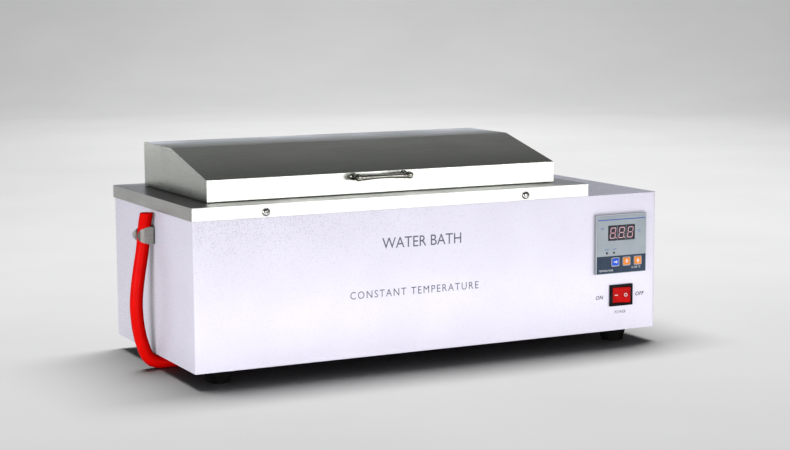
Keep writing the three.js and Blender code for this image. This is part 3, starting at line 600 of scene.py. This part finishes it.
def cross_head(at_point, outward, radius, rise, shank, length, slot_width):
    """A domed head with a cross recess, on a plain shank."""
    steps = [(0, -length), (shank, -length), (shank, 0), (radius - 0.3, 0), (radius, 0.3)]
    angles = [math.pi / 24 * k for k in range(1, 12)]
    steps += [(radius * math.cos(a), 0.3 + (rise - 0.3) * math.sin(a)) for a in angles]
    bm = bmesh.new()
    lathe(bm, steps + [(0, rise)], (0, 0, 0), Z, 48)
    head = loose(bm)
    for quarter in range(2):
        cutter = bmesh.new()
        long, wide = radius * 1.05, slot_width
        size = (long, wide) if quarter else (wide, long)
        box(cutter, around(0, size[0]), around(0, size[1]), (rise * 0.35, rise + 1))
        join_cut(head, loose(cutter), "DIFFERENCE")
    bm = from_loose(head)
    turn = Z.rotation_difference(outward).to_matrix().to_4x4()
    bm.transform(Matrix.Translation(Vector(at_point)) @ turn @ Matrix.Rotation(0.5, 4, "Z"))
    return bm


LIP_SCREWS = [("left", 84.6), ("right", 413)]
for side, x in LIP_SCREWS:
    for end, y, outward in (("front", -1.6, -Y), ("rear", 266.6, Y)):
        screw = cross_head((x, y, 172.2), outward, 4.45, 2.7, 2.1, 9.8, 1.0)
        node_name = f"deck_screw_{end}_{side}"
        piece(node_name + "_cross", screw, "bright", bevel=0.08, replaces=[node_name])

for side, x in FEET[0]:
    for end, y in FEET[1]:
        make_foot(f"foot_{end}_{side}", x, y)
        screw = cross_head((x, y, -12.4), -Z, 4.35, 2.4, 2.1, 18.5, 0.9)
        node_name = f"foot_screw_{end}_{side}"
        piece(node_name + "_cross", screw, "bright", replaces=[node_name])


def make_drain():
    """A bent pipe under the tank, with a bead of solder at its top."""
    bm = bmesh.new()
    y, bend_x, bend_z, bend_radius = 131, 75, 3.9, 13
    pipe_x = bend_x + bend_radius
    angles = [math.pi / 20 * k for k in range(10)]
    bend = [(bend_x + bend_radius * math.cos(a), y, bend_z - bend_radius * math.sin(a)) for a in angles]
    line = [(pipe_x, y, 74.6), (pipe_x, y, 40), *bend, (bend_x, y, -9.1), (66.1, y, -9.1)]
    tube(bm, [Vector(p) for p in line], 5.4, 4, 40)
    lathe(bm, [(5.3, 72.2), (6, 72.9), (6.9, 74.6), (5.3, 74.6)], (pipe_x, y, 0), Z, 48, closed=True)
    piece("drain_elbow_fine", bm, "brass", replaces=["drain_elbow"])


make_drain()


# ---------------------------------------------------------------- hose clip


def make_clip():
    """A strip of spring steel: flat on the cabinet, pinched past the hose, with two long rounded tongues."""
    middle_y, middle_z, reach, half, straight = 130, 137.5, 21.2, 9.95, 3
    arm = [(-0.85, 4), (-0.85, 7.4), (-1.5, 8.6), (-3.2, 8.8), (-7, 8.8), (-11, 8.85), (-13.6, 8.6)]
    arm += [(-15.6, 7.5), (-16.6, 7), (-17.8, 7.2), (-19.4, 7.9), (-20.4, 8.4), (-21, 8.7), (-reach, 8.8)]
    half_line = spline([(x, y, 0) for x, y in arm], 4)
    line = [Vector((p.x, -p.y, 0)) for p in reversed(half_line)] + half_line
    columns, rows = [], 12
    for point in line:
        past = max(0.0, -straight - point.x) / (reach - straight + 0.02)
        tall = half * math.sqrt(max(0.0, 1 - past * past))
        heights = [middle_z + tall * (2 * k / rows - 1) for k in range(rows + 1)]
        columns.append([(point.x, middle_y + point.y, z) for z in heights])
    bm = bmesh.new()
    grid = [[bm.verts.new(p) for p in column] for column in columns]
    for one, other in zip(grid, grid[1:]):
        for k in range(rows):
            bm.faces.new((one[k], one[k + 1], other[k + 1], other[k]))
    bmesh.ops.solidify(bm, geom=bm.faces[:], thickness=-0.9)
    piece("hose_clip_sprung", bm, "clip", bevel=0.12, replaces=["hose_clip"])


make_clip()


# ---------------------------------------------------------------- lid handle


def make_handle():
    """A cast bar pull: turned posts, with a ringed bar that is slimmest in its middle."""
    x, span, z, face, reach = 239, 64, 201.4, 34.7, 15.5
    post = [(0, 0), (4, 0), (4.35, 0.35), (4.35, 1.3), (4, 1.65), (3.4, 2.1), (3.05, 2.9), (2.85, 5)]
    post += [(2.85, 9), (3.3, 10.2), (3.75, 11.2), (4.1, 13), (4.15, 15.5), (3.9, 17.4), (3.2, 18.9)]
    post += [(2, 19.6), (0, 19.75)]
    half = [(3.1, 3.8), (3.4, 4.6), (3.6, 5.5), (3.6, 6.5), (3.3, 7.3), (2.95, 7.7), (2.95, 8.1), (3.2, 8.6)]
    half += [(3.3, 9.5), (3.1, 10.6), (2.95, 13), (2.75, 17), (2.5, 19.5), (2.3, 23), (2.2, span / 2)]
    other_half = [(radius, span - along) for radius, along in reversed(half[:-1])]
    bar = [(0, 0), (3.1, 0)] + half + other_half + [(3.1, span), (0, span)]
    parts = []
    for post_x in around(x, span):
        bm = bmesh.new()
        lathe(bm, post, (post_x, face, z), -Y, 40)
        parts.append(loose(bm))
    bm = bmesh.new()
    lathe(bm, bar, (x - span / 2, face - reach, z), X, 40)
    whole = loose(bm)
    for post_part in parts:
        join_cut(whole, post_part, "UNION")
    piece("lid_handle_cast", from_loose(whole), "cast", "lid", replaces=["lid_handle"])


make_handle()


# ---------------------------------------------------------------- tank and shelf


def make_tank():
    """A pressed tank: a flange, upright walls, a rounded foot, and holes for the drain, heater and probe."""
    x, y, top, floor, wall = (42, 462), (48, 228), 179.7, 76.0, 1.0
    bm = bmesh.new()

    def ring(grow, z, radius):
        wide, deep = (x[0] - grow, x[1] + grow), (y[0] - grow, y[1] + grow)
        return [bm.verts.new(p) for p in rounded_loop(wide, deep, radius, z)]

    def rounded_foot(grow, bottom, foot):
        """Rings from a floor up a quarter turn to a wall that stands out from the inside by grow."""
        corner = 10 + grow
        rings = []
        for a in (math.pi / 12 * k for k in range(7)):
            inset = foot * (1 - math.sin(a))
            rings.append(ring(grow - inset, bottom + foot * (1 - math.cos(a)), corner - inset + 0.01))
        return rings

    inner = rounded_foot(0, floor, 7)
    outer = rounded_foot(wall, floor - wall, 7 + wall)
    inside = inner + [ring(0, top - 1.2, 10), ring(0.35, top - 0.35, 10.35), ring(1.2, top, 11.2)]
    rim = [ring(10.6, top, 20.6), ring(11, top - 0.5, 21), ring(10.6, top - 1, 20.6)]
    outside = [ring(wall + 0.6, top - 1, 11.6), ring(wall, top - 1.6, 11)] + outer[::-1]
    rings = inside + rim + outside
    for one, other in zip(rings, rings[1:]):
        bridge(bm, one, other)
    bm.faces.new(rings[0])
    bm.faces.new(rings[-1])
    tank = loose(bm)
    holes = [((88, 131, floor - 3), Z, 4.5, 6)]
    holes += [((x[1] - 2, at_y, 92), X, 5.6, 5) for at_y in (113, 163)] + [((x[1] - 2, 138, 97), X, 4.6, 5)]
    for origin, axis, radius, length in holes:
        cutter = bmesh.new()
        lathe(cutter, [(0, 0), (radius, 0), (radius, length), (0, length)], origin, axis, 40)
        join_cut(tank, loose(cutter), "DIFFERENCE")
    piece("inner_tank_pressed", from_loose(tank), "steel", replaces=["inner_tank"])


make_tank()


def make_shelf():
    """A punched sheet: a grid of round holes, closer than a coarse model can hold, inside a plain margin."""
    x, y, z, sheet = (47, 457), (53, 223), 106, 1.0
    columns, rows, hole, margin = 28, 11, 4.4, 9.0
    step_x = (x[1] - x[0] - 2 * margin) / columns
    step_y = (y[1] - y[0] - 2 * margin) / rows
    bm = bmesh.new()
    sides = 16
    for i in range(columns):
        for j in range(rows):
            cx, cy = x[0] + margin + (i + 0.5) * step_x, y[0] + margin + (j + 0.5) * step_y
            ring, edge = [], []
            for k in range(sides):
                a = math.tau * k / sides
                c, s = math.cos(a), math.sin(a)
                reach = 1 / max(abs(c), abs(s))
                ring.append(bm.verts.new((cx + hole * c, cy + hole * s, z)))
                edge.append(bm.verts.new((cx + step_x / 2 * c * reach, cy + step_y / 2 * s * reach, z)))
            bridge(bm, ring, edge)
    bmesh.ops.remove_doubles(bm, verts=bm.verts[:], dist=1e-3)

    def on_margin(v, axis):
        """Whether a point lies on the line between the holes and the plain margin."""
        low, high = (x, y)[axis]
        return min(abs(v.co[axis] - low - margin), abs(v.co[axis] - high + margin)) < 1e-2

    rim = [e for e in bm.edges if e.is_boundary and all(on_margin(v, 0) or on_margin(v, 1) for v in e.verts)]
    grown = bmesh.ops.extrude_edge_only(bm, edges=rim)["geom"]
    for v in (g for g in grown if isinstance(g, bmesh.types.BMVert)):
        for axis, (low, high) in enumerate((x, y)):
            if on_margin(v, axis):
                v.co[axis] = high if v.co[axis] > (low + high) / 2 else low
    top = bmesh.ops.extrude_face_region(bm, geom=bm.faces[:])["geom"]
    bmesh.ops.translate(bm, verts=[g for g in top if isinstance(g, bmesh.types.BMVert)], vec=(0, 0, sheet))
    piece("shelf_punched", bm, "steel", "shelf", replaces=["shelf_plate"])


make_shelf()


# ---------------------------------------------------------------- power switch


# in mm, with the angles of the face's corners and of its round flanks' roots in degrees
ROCKER = {
    "x": 548.3,
    "pivot_y": -0.5,
    "z": 43,
    "radius": 12.05,
    "corner": 13,
    "root": -25,
    "valley": 0.6,
    "tall": 18.6,
}
ROCKER_TILT = math.radians(10)


def rocker_face(share):
    """A point on the rocker's face, from its left end at -1 to its right end at 1, before it tilts."""
    corner = math.radians(ROCKER["corner"])
    away = abs(share)
    rise = ROCKER["valley"] + (ROCKER["radius"] * math.sin(corner) - ROCKER["valley"]) * away**1.25
    return ROCKER["radius"] * math.cos(corner) * share, rise


def rocker_place(px, py):
    """A point of the rocker's own section, tilted to ON and set on its pivot."""
    turned_x = px * math.cos(ROCKER_TILT) - py * math.sin(ROCKER_TILT)
    turned_y = px * math.sin(ROCKER_TILT) + py * math.cos(ROCKER_TILT)
    return ROCKER["x"] + turned_x, ROCKER["pivot_y"] - turned_y


def make_rocker():
    """A glossy rocker with a hollow face, tilted to ON."""
    radius, corner, root = ROCKER["radius"], math.radians(ROCKER["corner"]), math.radians(ROCKER["root"])
    angles = [root + (corner - root) * k / 12 for k in range(12)]
    arc = [(radius * math.cos(a), radius * math.sin(a)) for a in angles]
    face = [rocker_face(1 - k / 12) for k in range(25)]
    section = [(0, -radius * 0.75)] + arc + face + [(-px, py) for px, py in reversed(arc)]
    bm = bmesh.new()
    ends = []
    for z in around(ROCKER["z"], ROCKER["tall"]):
        ends.append([bm.verts.new((*rocker_place(px, py), z)) for px, py in section])
        bm.faces.new(ends[-1])
    bridge(bm, *ends)
    piece("switch_rocker_gloss", bm, "rocker", "rocker", bevel=0.45, segments=3,
          replaces=["switch_rocker"])


def make_rocker_marks():
    """A dash on the ON half and a ring on the OFF half, moulded a little proud."""
    z = ROCKER["z"]
    bm = bmesh.new()
    dash = [rocker_face(share) for share in (-0.72, -0.62, -0.5, -0.36)]
    loops = []
    for height in around(z, 0.9):
        under = [(px, py - 0.2) for px, py in dash]
        over = [(px, py + 0.06) for px, py in reversed(dash)]
        loops.append([bm.verts.new((*rocker_place(px, py), height)) for px, py in under + over])
        bm.faces.new(loops[-1])
    bridge(bm, *loops)
    here, ahead = (Vector((*rocker_place(*rocker_face(share)), z)) for share in (0.53, 0.54))
    outward = (ahead - here).normalized().cross(Z)
    if outward.y > 0:
        outward = -outward
    lathe(bm, [(1.35, -0.35), (2.1, -0.35), (2.1, 0.12), (1.35, 0.12)], here, outward, 36, closed=True)
    piece("switch_rocker_marks", bm, "white_ink", "rocker")


make_rocker_marks()
make_rocker()


# ---------------------------------------------------------------- lettering and the controller's face

PRINT = 0.05  # how far ink stands off its surface, in mm
CAPITAL = 0.7  # a capital's height as a share of the type's size


def lettering(name, words, x, z, height, y, look, wide=1.0, spacing=1.0, slant=0.0, bold=0.0):
    """Words centred on (x, z), facing the front, with capitals of this height, printed on the face at y."""
    curve = bpy.data.curves.new(name, "FONT")
    curve.body = words
    curve.align_x, curve.align_y = "CENTER", "CENTER"
    curve.size = height / CAPITAL
    curve.space_character = spacing
    curve.shear = slant
    curve.offset = bold
    curve.extrude = PRINT / 2
    curve.resolution_u = 3
    obj = bpy.data.objects.new(name, curve)
    bpy.context.scene.collection.objects.link(obj)
    bpy.context.view_layer.update()
    mesh = bpy.data.meshes.new_from_object(obj.evaluated_get(bpy.context.evaluated_depsgraph_get()))
    bpy.data.objects.remove(obj)
    stand = Matrix.Translation((x, y - PRINT / 2, z)) @ Matrix.Rotation(math.pi / 2, 4, "X")
    stand = stand @ Matrix.Diagonal((wide, 1, 1, 1))
    bm = bmesh.new()
    bm.from_mesh(mesh)
    bpy.data.meshes.remove(mesh)
    bmesh.ops.remove_doubles(bm, verts=bm.verts[:], dist=1e-4)
    bm.transform(stand)
    piece(name, bm, look)


def rounded_outline(x, z, radius, steps=5):
    return [(px, pz) for px, pz, _ in rounded_loop(x, z, radius, 0, steps)]


def ring_plate(bm, outer, inner, y, depth):
    """A flat frame between two outlines with the same number of points."""
    sections = ((outer, y), (inner, y), (inner, y + depth), (outer, y + depth))
    rings = [[bm.verts.new((px, py, pz)) for px, pz in line] for line, py in sections]
    for one, other in zip(rings, rings[1:] + rings[:1]):
        bridge(bm, one, other)


FACE_Y = -4.5  # the front of the controller's printed sheet
KEYS_X, KEYS_Z = (537.6, 553.6, 569.8), 84.6


def printed_patch(bm, x, z):
    """A rectangle of ink on the controller's sheet, from its low and high ends."""
    plate(bm, [(x[0], z[0]), (x[1], z[0]), (x[1], z[1]), (x[0], z[1])], FACE_Y - PRINT, PRINT)


def make_controller_face():
    """The prints on the controller's sheet: a slate band, a blue rule and a pale frame round each key."""
    band = bmesh.new()
    x_low, x_high, z_low, z_high = 510.8, 581.2, 71.1, 92.2
    holes = [around(kx, 9.9) for kx in KEYS_X]
    key_low, key_high = around(KEYS_Z, 9.3)
    printed_patch(band, (x_low, x_high), (z_low, key_low))
    printed_patch(band, (x_low, x_high), (key_high, z_high))
    edges = [x_low] + [end for hole in holes for end in hole] + [x_high]
    for span in zip(edges[::2], edges[1::2]):
        printed_patch(band, span, (key_low, key_high))
    piece("controller_band", band, "slate")
    rule = bmesh.new()
    printed_patch(rule, (512.2, 579.8), (135.7, 136.7))
    piece("controller_rule", rule, "blue_ink")
    frames = bmesh.new()
    for kx in KEYS_X:
        ring_plate(
            frames,
            rounded_outline(around(kx, 11), around(KEYS_Z, 10.4), 1.3),
            rounded_outline(around(kx, 9.9), around(KEYS_Z, 9.3), 0.8),
            FACE_Y - 2 * PRINT,
            PRINT * 1.9,
        )
    piece("key_frames", frames, "white_ink")
    for name, words, x, z, height, look in (
        ("label_value", "PV", 518.6, 125.6, 2.9, "blue_ink"),
        ("label_degrees", "°C", 571, 120.5, 3.2, "blue_ink"),
        ("label_heating", "HEAT", 525.4, 100.2, 1.9, "blue_ink"),
        ("label_alarm", "ALM", 536, 100.2, 1.9, "blue_ink"),
        ("label_kind", "TEMPERATURE", 524, 74.6, 2.2, "white_ink"),
        ("label_range", "0-100 °C", 567.5, 76.4, 2.5, "white_ink"),
    ):
        y = FACE_Y - PRINT if look == "white_ink" else FACE_Y
        lettering(name, words, x, z, height, y, look)


make_controller_face()


def make_key_marks():
    """A pale arrow on each key: to the right, down and up."""
    right_arrow = [(-2.6, 0.9), (1, 0.9), (1, 2.4), (2.7, 0.2), (1, -2), (1, -0.5), (-2.6, -0.5)]
    down_arrow = [(0, -2.5), (2.4, 0.3), (1, 0.3), (1, 2.5), (-1, 2.5), (-1, 0.3), (-2.4, 0.3)]
    up_arrow = [(-px, -pz) for px, pz in down_arrow]
    front = FACE_Y - 0.8
    marks = [
        ("key_set", "set_key", "blue_plastic", right_arrow),
        ("key_down", "down_key", "orange_plastic", down_arrow),
        ("key_up", "up_key", "orange_plastic", up_arrow),
    ]
    for x, (node_name, body, slot, shape) in zip(KEYS_X, marks):
        bm = bmesh.new()
        plate(bm, [(x + px, KEYS_Z + pz) for px, pz in shape], front - 0.03, 0.05)
        piece(node_name + "_mark", bm, "white_ink", body)


make_key_marks()


def make_digits():
    """Three slanted seven-segment digits that read 8.8.8, each in its own dark module."""
    front = FACE_Y - 0.1
    tall, wide, thick, gap, slant, pitch, middle_z = 13.4, 7.9, 1.05, 0.2, 0.12, 12.5, 120
    half, side, nib = tall / 2, (wide - thick) / 2, thick / 2

    def segment(long):
        """A bar along X with pointed ends, from -long to long."""
        upper = [(-long, 0), (-long + nib, nib), (long - nib, nib)]
        return upper + [(long, 0), (long - nib, -nib), (-long + nib, -nib)]

    level = segment(wide / 2 - nib - gap)
    upright = [(pz, px) for px, pz in segment(half / 2 - nib / 2 - gap)]
    shapes = [[(px, pz + z) for px, pz in level] for z in (half - nib, 0, nib - half)]
    shapes += [[(px + x, pz + z) for px, pz in upright] for x in (-side, side) for z in (half / 2, -half / 2)]
    dot = [(0.75 * math.cos(a), 0.75 * math.sin(a)) for a in (math.tau * k / 14 for k in range(14))]
    bm = bmesh.new()
    seams = bmesh.new()
    for number in range(3):
        middle = 533.6 + pitch * number
        for shape in shapes:
            plate(bm, [(middle + px + slant * pz, middle_z + pz) for px, pz in shape], front - 0.04, 0.04)
        if number < 2:
            plate(bm, [(middle + 4.4 + px, middle_z - 6 + pz) for px, pz in dot], front - 0.04, 0.04)
            low, high = around(middle + pitch / 2, 0.24)
            seam = [(low, 111.4), (high, 111.4), (high, 128.6), (low, 128.6)]
            plate(seams, seam, front - 0.02, 0.02)
    piece("display_digits", bm, "digits")
    piece("display_seams", seams, "bezel")


make_digits()

for name, words, x, z, height, look, wide, spacing, slant, bold in (
    ("label_object", "WATER BATH", 277.5, 127, 12.5, "grey_ink", 0.92, 1.0, 0, 0),
    ("label_kind_of_object", "CONSTANT TEMPERATURE", 268, 70.5, 8.6, "grey_ink", 0.92, 1.25, 0, 0),
    ("label_on", "ON", 517.6, 41.4, 4.5, "dark_ink", 1.02, 1.1, 0.22, 0.12),
    ("label_off", "OFF", 575.6, 42.4, 4.5, "dark_ink", 1.02, 1.1, 0.22, 0.12),
    ("label_power", "POWER", 548, 22, 3.6, "dark_ink", 0.84, 1.1, 0.1, 0),
):
    lettering(name, words, x, z, height, 0, look, wide, spacing, slant, bold)


# ---------------------------------------------------------------- mains cable gland


def make_gland():
    """A hexagon on the cabinet's back, a ribbed dome nut and a rubber seal, with a thread going inside."""
    bore, place = 4.1, Vector((556, 265.3, 38))
    thread = [(bore, -14), (7.5, -14), (7.6, -13.6), (7.6, 0), (bore, 0)]
    hexagon = [(bore, 0), (10.9, 0), (11, 0.4), (11, 4.6), (10.4, 5), (bore, 5)]
    dome = [(bore, 5), (9.9, 5), (9.9, 5.4), (9.6, 13.6), (9.1, 15.4), (7.9, 17.8), (6.9, 18.9), (6, 19.4)]
    dome += [(bore, 19.4)]
    bm = bmesh.new()
    for profile, sides in ((thread, 40), (hexagon, 6), (dome, 48)):
        lathe(bm, profile, place, Y, sides, closed=True)
    for k in range(16):
        turn = Matrix.Translation(place + 9.6 * Y) @ Matrix.Rotation(math.tau * k / 16, 4, "Y")
        rib = turn @ Matrix.Translation((9.75, 0, 0)) @ Matrix.Diagonal((0.9, 7.6, 1.3, 1))
        bmesh.ops.create_cube(bm, size=1, matrix=rib)
    piece("cable_gland_fine", bm, "black", bevel=0.12, replaces=["cable_gland"])
    bm = bmesh.new()
    seal = [(bore, 0), (5.9, 0), (5.9, 0.4), (5.4, 0.55), (4.5, 0.55), (bore, 0.2)]
    lathe(bm, seal, place + 19.4 * Y, Y, 40, closed=True)
    piece("cable_gland_seal", bm, "rubber")


make_gland()


# ---------------------------------------------------------------- stage, lights and output


def make_stage():
    """A pale floor that curves up into a wall all round."""
    bm = bmesh.new()
    flat, bend, height = 4.2, 2.6, 5.5
    angles = [math.pi / 32 * k for k in range(1, 17)]
    profile = [(0, 0), (0.5, 0), (1, 0), (2, 0), (3, 0), (flat, 0)]
    profile += [(flat + bend * math.sin(a), bend * (1 - math.cos(a))) for a in angles]
    lathe(bm, profile + [(flat + bend, height)], (0, 0, 0), Z, 96)
    mesh = bpy.data.meshes.new("studio")
    bm.to_mesh(mesh)
    bm.free()
    for polygon in mesh.polygons:
        polygon.use_smooth = True
    look = Look("studio_paper", roughness=0.9)
    paper = look.noise(400, detail=3)
    look.colour(look.blend(look.spread(paper, 0, 1), (0.78, 0.78, 0.78), (0.75, 0.75, 0.75)))
    mesh.materials.append(look.material)
    studio = bpy.data.objects.new("studio", mesh)
    bpy.context.scene.collection.objects.link(studio)


def linked(name, objects, state="INCLUDE"):
    """A light-linking set: its lights reach only these objects, or all but these."""
    made = bpy.data.collections.new(name)
    for obj in objects:
        made.objects.link(obj)
    for member in made.collection_objects:
        member.light_linking.link_state = state
    return made


def area_light(name, lit, place, aim, size, power, bounces, colour=(1, 1, 1)):
    """A softbox that the camera can't see."""
    data = bpy.data.lights.new(name, "AREA")
    data.shape = "RECTANGLE"
    data.size, data.size_y = size
    data.energy = power
    data.color = colour
    data.cycles.max_bounces = bounces
    light = bpy.data.objects.new(name, data)
    light.location = place
    light.rotation_euler = (Vector(aim) - Vector(place)).to_track_quat("-Z", "Y").to_euler()
    light.visible_camera = False
    light.light_linking.receiver_collection = lit
    bpy.context.scene.collection.objects.link(light)


make_stage()
STUDIO = linked("studio only", [bpy.data.objects["studio"]])
OBJECT = linked("all but the studio", [bpy.data.objects["studio"]], "EXCLUDE")
LID = linked("lid", [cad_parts["lid_shell"]])
STEEL = linked("lid and deck", [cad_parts["lid_shell"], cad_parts["top_deck"]])
BASIN_NODES = ("shelf_leg_front", "shelf_leg_rear", "heater_element", "sensor_probe")
BASIN_PARTS = [bpy.data.objects[name] for name in ("inner_tank_pressed", "shelf_punched")]
BASIN = linked("tank and shelf", BASIN_PARTS + [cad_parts[name] for name in BASIN_NODES])
HOSE = linked("hose and clip", [bpy.data.objects["drain_hose_soft"], bpy.data.objects["hose_clip_sprung"]])
# The pool and the backdrop light only the floor and wall, and the rest light only the object.
area_light("pool", STUDIO, (0.42, 0.66, 3.0), (0.45, 0.3, 1.3), (3.2, 1.2), 110, 1)
area_light("backdrop", STUDIO, (1.3, 2.78, 2.7), (1.95, 4.09, 0.93), (0.9, 0.5), 64, 1)
area_light("key", OBJECT, (0.75, -2.7, 0.42), (0, 0, 0.1), (2.3, 0.7), 29.5, 0)
area_light("low", OBJECT, (0.0, -0.39, 0.02), (0, 0, 0.02), (1.4, 0.06), 0.98, 0)
area_light("glint", STEEL, (1.0, -1.85, 0.3), (0, 0, 0.2), (2.2, 0.5), 11, 0)
area_light("end", STEEL, (-1.45, 2.3, 0.2), (-0.25, 0, 0.2), (1.3, 0.35), 1.6, 1)
area_light("left", OBJECT, (-2.6, -0.9, 0.5), (0, 0, 0.1), (1.6, 0.9), 36, 0)
area_light("hose", HOSE, (-0.5, -1.9, 0.45), (-0.3, 0, 0.1), (0.6, 0.7), 10, 1)
area_light("basin", BASIN, (0.0, -0.5, 1.6), (0, 0.05, 0.1), (1.6, 1.0), 14, 2)
area_light("top", OBJECT, (0.1, 0.3, 2.4), (0, 0, 0), (2.0, 1.6), 12, 0, (0.93, 0.96, 1))
area_light("rim", OBJECT, (1.75, 3.45, 0.75), (0, 0, 0.2), (2.4, 0.5), 3.5, 0, (0.78, 0.83, 1))
area_light("slope", LID, (0.1, 2.6, 1.8), (-0.2, 0, 0.25), (0.6, 0.6), 2.5, 0)

world = bpy.data.worlds.new("studio air")
world.use_nodes = True
world.node_tree.nodes["Background"].inputs["Color"].default_value = (0.95, 0.97, 1, 1)
world.node_tree.nodes["Background"].inputs["Strength"].default_value = 0.06
bpy.context.scene.world = world
bpy.context.scene.view_settings.view_transform = "Standard"
